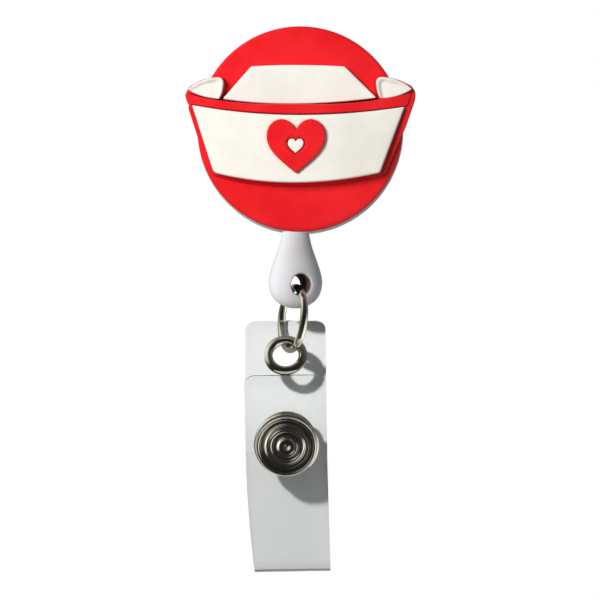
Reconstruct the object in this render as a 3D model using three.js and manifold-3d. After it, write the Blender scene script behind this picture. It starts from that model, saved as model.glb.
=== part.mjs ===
// Retractable badge reel: a round reel with a soft moulded nurse's-cap cover, a cord end drop, a wire
// ring, a clear snap strap and a swivelling spring clip on the back.
// Millimetres, +Z up. The cover faces -Y. The origin is where the clip's jaws meet, which is the point
// that holds the hanging object up.
import * as THREE from "three";
import { mergeVertices } from "three/addons/utils/BufferGeometryUtils.js";
import Module from "manifold-3d";

const wasm = await Module();
wasm.setup();

const DEG = Math.PI / 180;

// Driving dimensions. Depths (y) and heights (z) are measured from the reel's axis unless said.
const grip = { y: 8.3, z: -12.85 }; // where the clip's jaws meet
const casing = {
  radius: 16.2,
  halfDepth: 4.2,
  wall: 1.0,
  edge: 2.6, // outer edge rounding
  bore: 14.8,
  lip: 15.6, // the front shell's lip goes round the rear shell's spigot
  seam: 0.75, // depth of that overlap
  sides: 64,
};
const post = { radius: 1.8, tip: -3.15, rivetBore: 1.05, slot: 0.5 };
const peg = { ring: 13.95, radius: 0.65, count: 3 };
const exit = { inner: 5.2, outer: 2.0, depth: 1.3, recess: 3.0, recessTop: -15.5 };
const spool = { flange: 12.6, root: 8.4, cup: 7.6, groove: 1.2, web: 0.7, back: 2.5, sides: 48 };
const spring = { inner: 2.15, outer: 7.35, turns: 6.5, strip: 0.2, front: -1.0, back: 2.3 };
const cord = { diameter: 0.7, woundRadius: 11.6, knot: 0.95, x: -0.8 };
const drop = {
  top: -15.75,
  bottom: -27.95,
  halfWidth: 4.4,
  flatten: 0.65, // thickness over width
  turn: 22, // degrees that the drop has turned on its cord
  hole: { z: -24.2, radius: 1.6 },
  knot: { z: -19.6, radius: 1.3 },
};
const ring = { radius: 4.9, wire: 0.62, tilt: 5.5, play: 0.08, rise: 0.45, slack: 0.24 };
const strap = {
  width: 12.7,
  thick: 0.45,
  corner: 1.6,
  top: 6.1, // above the eyelet's centre
  straight: 3.4, // below it, before the bend
  lean: 40, // degrees from the leaves to the eyelet end
  bend: 8, // radius of the bend under the eyelet
  bottom: -33.6,
  sway: 0.6, // how far the fold hangs to one side of the eyelet
  fold: 1.52, // radius of the fold, which sets the gap between the leaves
  flapTop: -1.45,
  pitch: 12, // leans the leaves back until the strap hangs balanced
  turn: 0,
  roll: -0.85,
  x: -2.35, // the eyelet's centre
};
const eyelet = { hole: 2.05, flange: 3.4, lip: 0.45 };
const snap = { z: -12.75, cap: 4.7, socket: 5.1, sides: 28 };
const cover = { radius: 16, back: -4.6, face: -6.6, dome: 0.4, bulge: 90, backing: 5.2 };
const level = { crown: 0.9, skirt: 0.9, fold: 1.85, band: 2.6, panel: 2.95, emblem: 0.7 };
const clip = {
  width: 10,
  sheet: 0.7,
  front: 5.0,
  top: 13.5,
  jaw: -13.2,
  pin: { y: 8.8, z: 3.8, radius: 0.75 },
  ear: { low: 1.2, high: 6.4, back: 10.2 },
  throat: 11.0,
};

// ---------------------------------------------------------------- solids

// A three.js geometry as a solid, with its faces turned outwards.
function solidFrom(geometry) {
  const bare = geometry.index ? geometry.toNonIndexed() : geometry.clone();
  for (const name of Object.keys(bare.attributes)) {
    if (name !== "position") bare.deleteAttribute(name);
  }
  const merged = mergeVertices(bare, 1e-4);
  const corners = merged.index.array;
  const faces = [];
  for (let i = 0; i < corners.length; i += 3) {
    const [a, b, c] = corners.slice(i, i + 3);
    if (a !== b && b !== c && c !== a) faces.push([a, b, c]);
  }
  const build = (list) =>
    new wasm.Manifold(
      new wasm.Mesh({
        numProp: 3,
        vertProperties: merged.attributes.position.array,
        triVerts: new Uint32Array(list.flat()),
      }),
    );
  const made = build(faces);
  return made.volume() < 0 ? build(faces.map(([a, b, c]) => [a, c, b])) : made;
}

function geometryFrom(solid) {
  const mesh = solid.getMesh();
  const geometry = new THREE.BufferGeometry();
  geometry.setAttribute("position", new THREE.BufferAttribute(mesh.vertProperties, 3));
  geometry.setIndex(new THREE.BufferAttribute(mesh.triVerts, 1));
  const flat = geometry.toNonIndexed();
  flat.computeVertexNormals();
  return flat;
}

const joined = (...solids) => solids.reduce((all, one) => all.add(one));
const cutBy = (solid, ...tools) => tools.reduce((left, tool) => left.subtract(tool), solid);
const moved = (geometry, x, y, z) => solidFrom(geometry.translate(x, y, z));

// Turned about the Y axis from [radius, y] points.
function turned(profile, sides) {
  const points = profile.map(([r, y]) => new THREE.Vector2(r, y));
  if (profile[0][0] > 0 || profile.at(-1)[0] > 0) points.push(points[0].clone());
  return solidFrom(new THREE.LatheGeometry(points, sides));
}

// Turned about the Z axis from [radius, z] points, and flattened along Y.
function turnedUpright(profile, sides, flatten = 1) {
  const points = profile.map(([r, z]) => new THREE.Vector2(r, z));
  if (profile[0][0] > 0 || profile.at(-1)[0] > 0) points.push(points[0].clone());
  const lathe = new THREE.LatheGeometry(points, sides).rotateX(90 * DEG);
  return solidFrom(lathe.scale(1, flatten, 1));
}

// An outline drawn in X and Z, as a slab from the depth `back` forward to `front`.
function slab(outline, back, front, curveSegments = 8) {
  const made = new THREE.ExtrudeGeometry(outline, {
    depth: back - front,
    bevelEnabled: false,
    curveSegments,
  });
  return moved(made.rotateX(90 * DEG), 0, back, 0);
}

// An outline drawn in Y and Z, as a bar of that section centred on X.
function bar(outline, width, curveSegments = 8) {
  const made = new THREE.ExtrudeGeometry(outline, {
    depth: width,
    bevelEnabled: false,
    curveSegments,
  });
  // X of the drawing becomes Y, Y becomes Z and the depth runs along X.
  made.rotateX(90 * DEG).rotateZ(90 * DEG);
  return moved(made, -width / 2, 0, 0);
}

function box(low, high) {
  const size = high.map((v, i) => v - low[i]);
  const made = new THREE.BoxGeometry(...size);
  return moved(made, ...high.map((v, i) => (v + low[i]) / 2));
}

function rodAlongY(radius, front, back, x, z, sides) {
  const made = new THREE.CylinderGeometry(radius, radius, back - front, sides);
  return moved(made, x, (front + back) / 2, z);
}

function rodAlongX(radius, length, y, z, sides) {
  const made = new THREE.CylinderGeometry(radius, radius, length, sides).rotateZ(90 * DEG);
  return moved(made, 0, y, z);
}

function outlineOf(points) {
  return new THREE.Shape(points.map(([x, y]) => new THREE.Vector2(x, y)));
}

// A quadratic curve from the pen's place to an end point, passing through a middle point.
function through(shape, middle, end) {
  const from = shape.currentPoint;
  const control = [0, 1].map((i) => 2 * middle[i] - (from.getComponent(i) + end[i]) / 2);
  shape.quadraticCurveTo(...control, ...end);
}

function arcPoints(cx, cy, radius, from, to, steps) {
  return Array.from({ length: steps + 1 }, (_, i) => {
    const angle = (from + ((to - from) * i) / steps) * DEG;
    return [cx + radius * Math.cos(angle), cy + radius * Math.sin(angle)];
  });
}

// ---------------------------------------------------------------- materials

function finish(colour, roughness, metalness = 0, opacity = 1) {
  const transparent = opacity < 1;
  return new THREE.MeshStandardMaterial({
    color: colour,
    roughness,
    metalness,
    opacity,
    transparent,
  });
}

const finishes = {
  redPvc: () => finish(0xe01f28, 0.55),
  whitePvc: () => finish(0xf3f1ec, 0.5),
  whitePlastic: () => finish(0xeeeef2, 0.25),
  naturalPlastic: () => finish(0xd9dad6, 0.4),
  nickel: () => finish(0xb9b4a6, 0.2, 1),
  springSteel: () => finish(0x6d7078, 0.3, 1),
  cord: () => finish(0xf0f0f0, 0.7),
  clearVinyl: () => finish(0xe4e6e8, 0.12, 0, 0.45),
  foam: () => finish(0xe9e7df, 0.9),
};

function part(name, solid, material) {
  const mesh = new THREE.Mesh(geometryFrom(solid), material);
  mesh.name = name;
  return mesh;
}

function group(...children) {
  const made = new THREE.Group();
  made.add(...children);
  return made;
}

// ---------------------------------------------------------------- soft cover

// The cap's red outline: both folded ends, the band and what lies under the front panel.
function skirtOutline() {
  const s = new THREE.Shape();
  const curve = (points) => s.splineThru(points.map(([x, z]) => new THREE.Vector2(x, z)));
  s.moveTo(-15.84, 0.2);
  s.lineTo(-17.45, 4.5);
  curve([[-17.76, 5.5], [-17.2, 6.6], [-15.4, 7.65], [-12.8, 8.15], [-11.65, 7.5]]);
  s.lineTo(-11.7, 6.4);
  s.lineTo(-12.2, 4.4);
  through(s, [-0.87, 3.6], [12.1, 4.4]);
  s.lineTo(11.7, 6.4);
  s.lineTo(11.65, 7.5);
  curve([[12.8, 8.15], [15.4, 7.65], [17.4, 6.55], [18.03, 5.5], [17.8, 4.4]]);
  s.lineTo(16.4, 0.7);
  s.lineTo(13.2, -6.9);
  s.lineTo(12.0, -7.25);
  through(s, [-0.87, -8.65], [-12.85, -7.25]);
  s.lineTo(-13.75, -6.0);
  s.lineTo(-15.84, 0.2);
  return s;
}

function bandOutline() {
  const s = new THREE.Shape();
  s.moveTo(-16.95, 3.78);
  s.lineTo(-17.55, 5.5);
  through(s, [-0.87, 3.6], [17.15, 5.75]);
  s.lineTo(16.45, 3.42);
  through(s, [-0.62, 2.05], [-16.95, 3.78]);
  return s;
}

function frontPanelOutline(gap = 0) {
  const s = new THREE.Shape();
  s.moveTo(-16.75, 3.62 - gap);
  through(s, [-0.62, 1.95 - gap], [16.25, 3.28 - gap]);
  s.lineTo(12.6, -6.4);
  s.quadraticCurveTo(12.35, -7.0, 11.7, -7.1);
  through(s, [-0.87, -8.5], [-12.55, -7.1]);
  s.quadraticCurveTo(-13.3, -6.9, -13.6, -6.0);
  s.lineTo(-16.75, 3.62 - gap);
  return s;
}

function crownOutline() {
  const s = new THREE.Shape();
  s.moveTo(-12.0, 4.5);
  s.lineTo(-7.55, 9.6);
  through(s, [-0.4, 9.8], [6.95, 9.55]);
  s.lineTo(11.9, 4.65);
  through(s, [-0.87, 3.72], [-12.0, 4.5]);
  return s;
}

// One folded end of the cap, drawn on the right: side is 1 there and -1 for its mirror on the left.
// The inset one is the hollow inside its raised lip.
function foldOutline(side, inset = 0) {
  const s = new THREE.Shape();
  const at = (x, z) => [side * x, z - inset];
  s.moveTo(side * (12.55 + inset), 4.5);
  s.lineTo(...at(11.9 + inset, 6.4));
  s.quadraticCurveTo(...at(11.85 + inset, 7.8), ...at(13.0 + inset, 7.85));
  s.quadraticCurveTo(...at(15.6, 7.6), ...at(17.3 - inset, 6.0 + inset * 0.8));
  s.quadraticCurveTo(side * 15.2, 4.75 + inset * 0.2, side * (12.55 + inset), 4.5);
  return s;
}

function heartOutline(width, x = 0, z = 0) {
  const s = new THREE.Shape();
  const w = width;
  s.moveTo(x, z - 0.46 * w);
  s.bezierCurveTo(x - 0.18 * w, z - 0.3 * w, x - 0.5 * w, z - 0.1 * w, x - 0.5 * w, z + 0.17 * w);
  s.bezierCurveTo(x - 0.5 * w, z + 0.36 * w, x - 0.37 * w, z + 0.46 * w, x - 0.25 * w, z + 0.46 * w);
  s.bezierCurveTo(x - 0.13 * w, z + 0.46 * w, x - 0.04 * w, z + 0.38 * w, x, z + 0.27 * w);
  s.bezierCurveTo(x + 0.04 * w, z + 0.38 * w, x + 0.13 * w, z + 0.46 * w, x + 0.25 * w, z + 0.46 * w);
  s.bezierCurveTo(x + 0.37 * w, z + 0.46 * w, x + 0.5 * w, z + 0.36 * w, x + 0.5 * w, z + 0.17 * w);
  s.bezierCurveTo(x + 0.5 * w, z - 0.1 * w, x + 0.18 * w, z - 0.3 * w, x, z - 0.46 * w);
  return s;
}

// Everything behind a wide upright cylinder whose front reaches the depth `front`: cutting with it
// rounds a raised part from side to side, as the cap is rounded.
function bulge(front) {
  const length = 40;
  const made = new THREE.CylinderGeometry(cover.bulge, cover.bulge, length, 180);
  return moved(made.rotateX(90 * DEG), 0, front + cover.bulge, 0);
}

const raised = (outline, back, height, segments) =>
  slab(outline, back, cover.face - height - 1, segments).intersect(bulge(cover.face - height));

function makeCover() {
  const { radius, back, face, dome } = cover;
  const gap = 0.04;
  const disc = turned(
    [
      [0, back],
      [radius - 0.25, back],
      [radius, back - 0.25],
      [radius, face + 0.45],
      [radius - 0.4, face + 0.05],
      [radius * 0.7, face - 0.25 * dome],
      [radius * 0.35, face - 0.8 * dome],
      [0, face - dome],
    ],
    72,
  );
  const skirt = slab(skirtOutline(), -cover.backing, cover.face - level.skirt, 5);
  const band = raised(bandOutline(), -cover.backing - 0.5, level.band, 12);
  const under = cover.face - level.skirt - gap;
  const panel = raised(frontPanelOutline(0.04), under, level.panel, 12);
  const emblemFloor = cover.face - level.panel - 0.06;
  const heartAt = [-0.56, -2.94];
  const emblem = cutBy(
    slab(heartOutline(9.1, ...heartAt), emblemFloor, emblemFloor - level.emblem, 6),
    slab(heartOutline(2.7, -0.6, -2.9), emblemFloor + 1, emblemFloor - 2, 4),
  );
  const heart = slab(heartOutline(2.5, -0.6, -2.9), emblemFloor, emblemFloor - 0.35, 4);
  const crown = slab(crownOutline(), cover.face - dome - gap, cover.face - dome - level.crown, 6);
  const folds = [-1, 1].map((side) => {
    const plate = slab(foldOutline(side), under, cover.face - level.fold, 5);
    const hollow = slab(foldOutline(side, 0.6), cover.face - level.fold + 0.5, -12, 5);
    return cutBy(plate, hollow);
  });
  // The cover's face is domed, so the crown and the skirt stand in it rather than on it.
  const clearOf = (solid) => cutBy(solid, slab(crownOutline(), face + 0.3, -20, 6));
  const body = joined(clearOf(disc), skirt, band);
  const seat = slab(crownOutline(), face + 0.26, face - dome - gap, 6);
  const crownSolid = cutBy(joined(crown, seat), skirt, band);
  return group(
    part("cover_body", cutBy(body, crownSolid), finishes.redPvc()),
    part("cap_crown", crownSolid, finishes.whitePvc()),
    part("cap_front_panel", panel, finishes.whitePvc()),
    part("cap_left_fold", cutBy(folds[0], band, panel), finishes.whitePvc()),
    part("cap_right_fold", cutBy(folds[1], band, panel), finishes.whitePvc()),
    part("emblem", emblem, finishes.redPvc()),
    part("emblem_inset", heart, finishes.whitePvc()),
  );
}

// ---------------------------------------------------------------- reel

function pegPlaces() {
  return Array.from({ length: peg.count }, (_, i) => {
    const angle = (90 + (360 * i) / peg.count) * DEG;
    return [peg.ring * Math.cos(angle), peg.ring * Math.sin(angle)];
  });
}

// The way out for the cord, and the round seat that the drop's neck rests in.
function exitTools() {
  const { inner, outer, depth, recess, recessTop } = exit;
  const mouth = outlineOf([
    [cord.x - outer / 2, -casing.radius - 1],
    [cord.x + outer / 2, -casing.radius - 1],
    [cord.x + inner / 2, -casing.bore + 0.8],
    [cord.x - inner / 2, -casing.bore + 0.8],
  ]);
  const seat = new THREE.CylinderGeometry(recess, recess, 3, 32).rotateX(90 * DEG);
  return [
    slab(mouth, depth / 2, -depth / 2, 1),
    moved(seat, cord.x, 0, recessTop - 1.5),
  ];
}

function makeFrontShell() {
  const { radius, halfDepth, wall, edge, bore, lip, seam, sides } = casing;
  const floor = -halfDepth + wall;
  const shell = turned(
    [
      [0, -halfDepth],
      ...arcPoints(radius - edge, -halfDepth + edge, edge, -90, 0, 5),
      [radius, -0.05],
      [lip, -0.05],
      [lip, -seam - 0.05],
      [bore, -seam - 0.05],
      [bore, floor],
      [3.2, floor],
      [3.2, floor + 0.9],
      [post.radius + 0.15, floor + 0.9],
      [post.radius + 0.15, floor - 0.1],
      [0, floor - 0.1],
    ],
    sides,
  );
  const bosses = pegPlaces().map(([x, z]) => rodAlongY(1.1, floor - 0.2, -1.2, x, z, 12));
  const holes = pegPlaces().map(([x, z]) => rodAlongY(peg.radius + 0.1, floor, 0, x, z, 12));
  return cutBy(joined(shell, ...bosses), ...holes, ...exitTools());
}

function makeRearShell() {
  const { radius, halfDepth, wall, edge, bore, lip, seam, sides } = casing;
  const floor = halfDepth - wall;
  const shell = turned(
    [
      [post.rivetBore, halfDepth],
      ...arcPoints(radius - edge, halfDepth - edge, edge, 90, 0, 5),
      [radius, 0],
      [lip - 0.05, 0],
      [lip - 0.05, -seam],
      [bore, -seam],
      [bore, floor],
      [3.0, floor],
      [3.0, floor - 0.6],
      [post.radius, floor - 0.6],
      [post.radius, post.tip],
      [0, post.tip],
      [0, 0.2],
      [post.rivetBore, 0.2],
    ],
    sides,
  );
  const pegs = pegPlaces().map(([x, z]) => rodAlongY(peg.radius, -2.6, floor + 0.2, x, z, 12));
  const slot = box([1.25, spring.front - 0.1, -post.slot / 2], [3, floor - 0.7, post.slot / 2]);
  return cutBy(joined(shell, ...pegs), slot, ...exitTools());
}

function makeSpool() {
  const { flange, root, cup, groove, web, back, sides } = spool;
  const bore = post.radius + 0.15;
  const drum = turned(
    [
      [bore, -groove - web - 0.15],
      [3.6, -groove - web - 0.15],
      [3.6, -groove - web],
      [flange, -groove - web],
      [flange, -groove],
      [root, -groove],
      [root, groove],
      [flange, groove],
      [flange, groove + web],
      [root, groove + web],
      [root, back],
      [cup, back],
      [cup, -groove],
      [bore, -groove],
    ],
    sides,
  );
  const hookSlot = box([-0.6, spring.front, 7.2], [0.6, back + 0.1, 8.9]);
  return cutBy(drum, hookSlot);
}

// A flat strip wound in a spiral, with its inner end turned into the post's slot.
function makeSpring() {
  const { inner, outer, turns, strip } = spring;
  const steps = Math.round(turns * 20);
  const line = (offset) =>
    Array.from({ length: steps + 1 }, (_, i) => {
      const angle = (2 * Math.PI * turns * i) / steps;
      const radius = inner + ((outer - inner) * i) / steps + offset;
      return [radius * Math.cos(angle), radius * Math.sin(angle)];
    });
  const outside = line(strip / 2);
  const inside = line(-strip / 2);
  const hook = [
    [1.4, -strip / 2],
    [inner + strip / 2, -strip / 2],
  ];
  const end = [
    [inner - strip / 2, strip / 2],
    [1.4, strip / 2],
  ];
  const path = [...hook, ...outside.slice(1), ...inside.reverse().slice(0, -1), ...end];
  return slab(outlineOf(path), spring.back, spring.front, 1);
}

function makeWinding() {
  const edge = spool.groove - 0.08;
  const inside = spool.root + 0.06;
  return turned(
    [
      [inside, -edge],
      [cord.woundRadius - 0.4, -edge],
      [cord.woundRadius, -edge * 0.55],
      [cord.woundRadius, edge * 0.55],
      [cord.woundRadius - 0.4, edge],
      [inside, edge],
    ],
    spool.sides,
  );
}

// The cord from the winding to the way out. It leaves the winding on the left as a tangent.
function cordRoute() {
  const radius = cord.woundRadius + cord.diameter / 2 + 0.1;
  const out = new THREE.Vector2(cord.x, exit.recessTop - 0.1);
  const reach = Math.acos(radius / out.length());
  const centre = Math.atan2(out.y, out.x);
  const tangent = [radius * Math.cos(centre - reach), radius * Math.sin(centre - reach)];
  return { tangent, out };
}

function tube(points, diameter, steps) {
  const curve = new THREE.CatmullRomCurve3(
    points.map(([x, y, z]) => new THREE.Vector3(x, y, z)),
    false,
    "centripetal",
  );
  const section = new THREE.Shape();
  section.absarc(0, 0, diameter / 2, 0, 2 * Math.PI);
  const made = new THREE.ExtrudeGeometry(section, { steps, curveSegments: 4, extrudePath: curve });
  return solidFrom(made);
}

function makeInnerCord() {
  const { tangent, out } = cordRoute();
  const along = (t) => [tangent[0] + (out.x - tangent[0]) * t, 0, tangent[1] + (out.y - tangent[1]) * t];
  return tube([along(0), along(0.45), along(0.86), [out.x - 0.02, 0, out.y + 0.25]], cord.diameter, 10);
}

function makeReel() {
  const adhesive = turned(
    [
      [0, -casing.halfDepth - 0.04],
      [12.8, -casing.halfDepth - 0.04],
      [12.8, cover.back + 0.04],
      [0, cover.back + 0.04],
    ],
    48,
  );
  const cordEnd = new THREE.SphereGeometry(cord.knot, 12, 8).scale(1, 1, 0.9);
  const knotHole = drop.knot.z;
  const tail = tube(
    [
      [cord.x, 0, exit.recessTop - 0.4],
      [cord.x, 0, (exit.recessTop + knotHole) / 2],
      [cord.x, 0, knotHole + cord.knot * 0.9 + 0.06],
    ],
    cord.diameter,
    3,
  );
  return group(
    makeCover(),
    part("adhesive_pad", adhesive, finishes.foam()),
    part("front_shell", makeFrontShell(), finishes.whitePlastic()),
    part("rear_shell", makeRearShell(), finishes.whitePlastic()),
    part("spool", makeSpool(), finishes.naturalPlastic()),
    part("power_spring", makeSpring(), finishes.springSteel()),
    part("cord_winding", makeWinding(), finishes.cord()),
    part("cord_inner_run", makeInnerCord(), finishes.cord()),
    part("cord_tail", tail, finishes.cord()),
    part("cord_knot", moved(cordEnd, cord.x, 0, knotHole), finishes.cord()),
  );
}

// ---------------------------------------------------------------- hanging parts

// The drop, in its own frame: the ring's hole runs front to back, and the cord comes in at the top.
function makeDrop() {
  const { top, bottom, halfWidth, flatten, hole, knot } = drop;
  const body = turnedUpright(
    [
      [0, bottom],
      [0.45 * halfWidth, bottom + 0.4],
      [0.78 * halfWidth, bottom + 1.3],
      [0.95 * halfWidth, bottom + 2.5],
      [halfWidth, bottom + 3.9],
      [0.94 * halfWidth, bottom + 5.6],
      [0.75 * halfWidth, bottom + 8.0],
      [0.56 * halfWidth, bottom + 10.6],
      [0.5 * halfWidth, top - 0.25],
      [0.43 * halfWidth, top],
      [0, top],
    ],
    36,
    flatten,
  );
  const mouth = [
    [hole.radius, 1.8],
    [hole.radius + 0.15, 2.2],
    [hole.radius + 0.45, 2.6],
    [hole.radius + 1.0, 3.1],
    [hole.radius + 2.0, 4],
  ];
  const sides = [...mouth.map(([r, y]) => [r, -y]).reverse(), ...mouth];
  const ringHole = turned([[0, -4], ...sides, [0, 4]], 24).translate([0, 0, hole.z]);
  const knotPocket = rodAlongY(knot.radius, -1.1, 5, 0, knot.z, 16);
  const cordBore = new THREE.CylinderGeometry(0.55, 0.55, 6, 12).rotateX(90 * DEG);
  return cutBy(body, ringHole, knotPocket, moved(cordBore, 0, 0, knot.z + 3));
}

function makeRing() {
  const torus = new THREE.TorusGeometry(ring.radius, ring.wire, 10, 40).rotateY(90 * DEG);
  return moved(torus, 0, 0, -ring.radius);
}

// The strap's side view: the leaf's middle line from the eyelet down, in the strap's own frame.
function leafLine() {
  const { lean, straight, bend } = strap;
  const a = lean * DEG;
  const start = [-straight * Math.sin(a), -straight * Math.cos(a)];
  const plane = start[0] - bend * (1 - Math.cos(a));
  return { a, start, plane, bendEnd: start[1] - bend * Math.sin(a) };
}

// A strip of the strap's thickness, `offset` to each side of the line down the back leaf.
function backLeafSection() {
  const { a, start, plane, bendEnd } = leafLine();
  const half = strap.thick / 2;
  const side = (s) => {
    const across = [s * half * Math.cos(a), -s * half * Math.sin(a)];
    const top = [strap.top * Math.sin(a) + across[0], strap.top * Math.cos(a) + across[1]];
    const centre = [plane + strap.bend, bendEnd];
    const arc = arcPoints(...centre, strap.bend - s * half, 180 - strap.lean, 180, 5);
    return [top, ...arc, [plane + s * half, strap.bottom + strap.fold]];
  };
  return outlineOf([...side(1), ...side(-1).reverse()]);
}

function roundedLeaf(low, high, corner) {
  const w = strap.width / 2;
  const s = new THREE.Shape();
  s.moveTo(-w + strap.sway, low);
  s.lineTo(w + strap.sway, low);
  s.lineTo(w, high - corner);
  s.absarc(w - corner, high - corner, corner, 0, 90 * DEG);
  s.lineTo(-w + corner, high);
  s.absarc(-w + corner, high - corner, corner, 90 * DEG, 180 * DEG);
  return s;
}

function makeStrap() {
  const { plane, a } = leafLine();
  const { thick, width, fold, bottom, flapTop } = strap;
  const foldZ = bottom + fold;
  const flapPlane = plane - 2 * fold;
  const eyeletHole = solidFrom(
    new THREE.CylinderGeometry(eyelet.hole + 0.55, eyelet.hole + 0.55, 4, 28).rotateX(-a),
  );
  const snapHole = rodAlongY(1.75, flapPlane - 2, plane + 2, 0, snap.z, 20);
  const backLeaf = cutBy(
    bar(backLeafSection(), width).intersect(
      slab(roundedLeaf(bottom - 1, strap.top * Math.cos(a), strap.corner), 12, -12, 4),
    ),
    eyeletHole,
    snapHole,
  );
  const flap = cutBy(
    slab(roundedLeaf(foldZ, flapTop, strap.corner), flapPlane + thick / 2, flapPlane - thick / 2, 4),
    snapHole,
  );
  const bendLine = outlineOf([
    ...arcPoints(plane - fold, foldZ - 0.04, fold + thick / 2, 180, 360, 10),
    ...arcPoints(plane - fold, foldZ - 0.04, fold - thick / 2, 360, 180, 10),
  ]);
  const foldPart = part("strap_fold", bar(bendLine, width), finishes.clearVinyl());
  foldPart.position.x = strap.sway;
  return group(
    part("strap_back_leaf", backLeaf, finishes.clearVinyl()),
    part("strap_flap", flap, finishes.clearVinyl()),
    foldPart,
    makeEyelet(),
    ...makeSnap(flapPlane, plane),
  );
}

function makeEyelet() {
  const { hole, flange, lip } = eyelet;
  const half = strap.thick / 2 + 0.03;
  const solid = turned(
    [
      [hole, -0.3],
      [hole + 0.18, -half - lip * 0.75],
      [hole + 0.55, -half - lip],
      [flange - 0.25, -half - lip * 0.7],
      [flange, -half - 0.1],
      [flange - 0.1, -half],
      [hole + 0.5, -half],
      [hole + 0.5, half],
      [flange - 0.1, half],
      [flange, half + 0.1],
      [flange - 0.25, half + lip * 0.7],
      [hole + 0.55, half + lip],
      [hole + 0.18, half + lip * 0.75],
      [hole, 0.3],
    ],
    32,
  );
  const mesh = part("eyelet", solid, finishes.nickel());
  mesh.rotation.x = -strap.lean * DEG;
  return mesh;
}

// The press stud: its cap and socket grip the flap, its stud and post grip the back leaf.
function makeSnap(flapPlane, plane) {
  const { cap, socket, sides } = snap;
  const half = strap.thick / 2 + 0.03;
  const tubeRadius = 1.65;
  const capSolid = turned(
    [
      [0, -0.62],
      [0.5, -0.45],
      [1.1, -0.85],
      [1.7, -0.62],
      [2.3, -0.95],
      [3.0, -0.6],
      [4.0, -0.5],
      [4.35, -1.0],
      [cap, -0.7],
      [cap, -half],
      [tubeRadius, -half],
      [tubeRadius, 0.7],
      [0, 0.7],
    ],
    sides,
  );
  const socketSolid = turned(
    [
      [tubeRadius + 0.08, half],
      [socket - 0.2, half],
      [socket, half + 0.25],
      [socket - 0.15, half + 0.55],
      [4.0, half + 0.7],
      [3.8, half + 1.75],
      [2.35, half + 1.75],
      [2.35, half + 1.45],
      [2.95, half + 1.4],
      [2.95, half + 0.75],
      [tubeRadius + 0.08, half + 0.7],
    ],
    sides,
  );
  const springRing = new THREE.TorusGeometry(2.5, 0.22, 8, sides).rotateX(90 * DEG);
  const studSolid = turned(
    [
      [0, -half - 1.9],
      [1.7, -half - 1.9],
      [2.1, -half - 1.5],
      [1.8, -half - 0.9],
      [1.9, -half - 0.5],
      [4.1, -half - 0.45],
      [4.25, -half - 0.1],
      [4.1, -half],
      [tubeRadius + 0.08, -half],
      [tubeRadius + 0.08, -half - 0.8],
      [0, -half - 0.8],
    ],
    sides,
  );
  const postSolid = turned(
    [
      [0, -half - 0.6],
      [tubeRadius, -half - 0.6],
      [tubeRadius, half],
      [cap - 0.2, half],
      [cap, half + 0.2],
      [cap - 0.5, half + 0.65],
      [2.5, half + 0.85],
      [0, half + 0.9],
    ],
    sides,
  );
  const place = (name, solid, y) => {
    const mesh = part(name, solid, finishes.nickel());
    mesh.position.set(0, y, snap.z);
    return mesh;
  };
  return [
    place("snap_cap", capSolid, flapPlane),
    place("snap_socket", socketSolid, flapPlane),
    place("snap_spring_ring", solidFrom(springRing), flapPlane + half + 1.08),
    place("snap_stud", studSolid, plane),
    place("snap_post", postSolid, plane),
  ];
}

// ---------------------------------------------------------------- clip

function teeth(width, y, z, size) {
  const pitch = 1.6;
  const count = Math.floor(width / pitch) - 1;
  return Array.from({ length: count }, (_, i) => {
    const x = (i - (count - 1) / 2) * pitch;
    const notch = new THREE.CylinderGeometry(size, size, 4, 4).rotateX(90 * DEG);
    return moved(notch, x, y, z);
  });
}

function earPlate(x, low, high, front, back, y, z, radius) {
  const { sheet } = clip;
  const s = new THREE.Shape();
  s.moveTo(front, low);
  s.lineTo(y, low);
  s.absarc(y, z, radius, -90 * DEG, 90 * DEG);
  s.lineTo(front, high);
  const made = bar(s, sheet, 6);
  return made.add(made).translate([x, 0, 0]);
}

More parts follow.
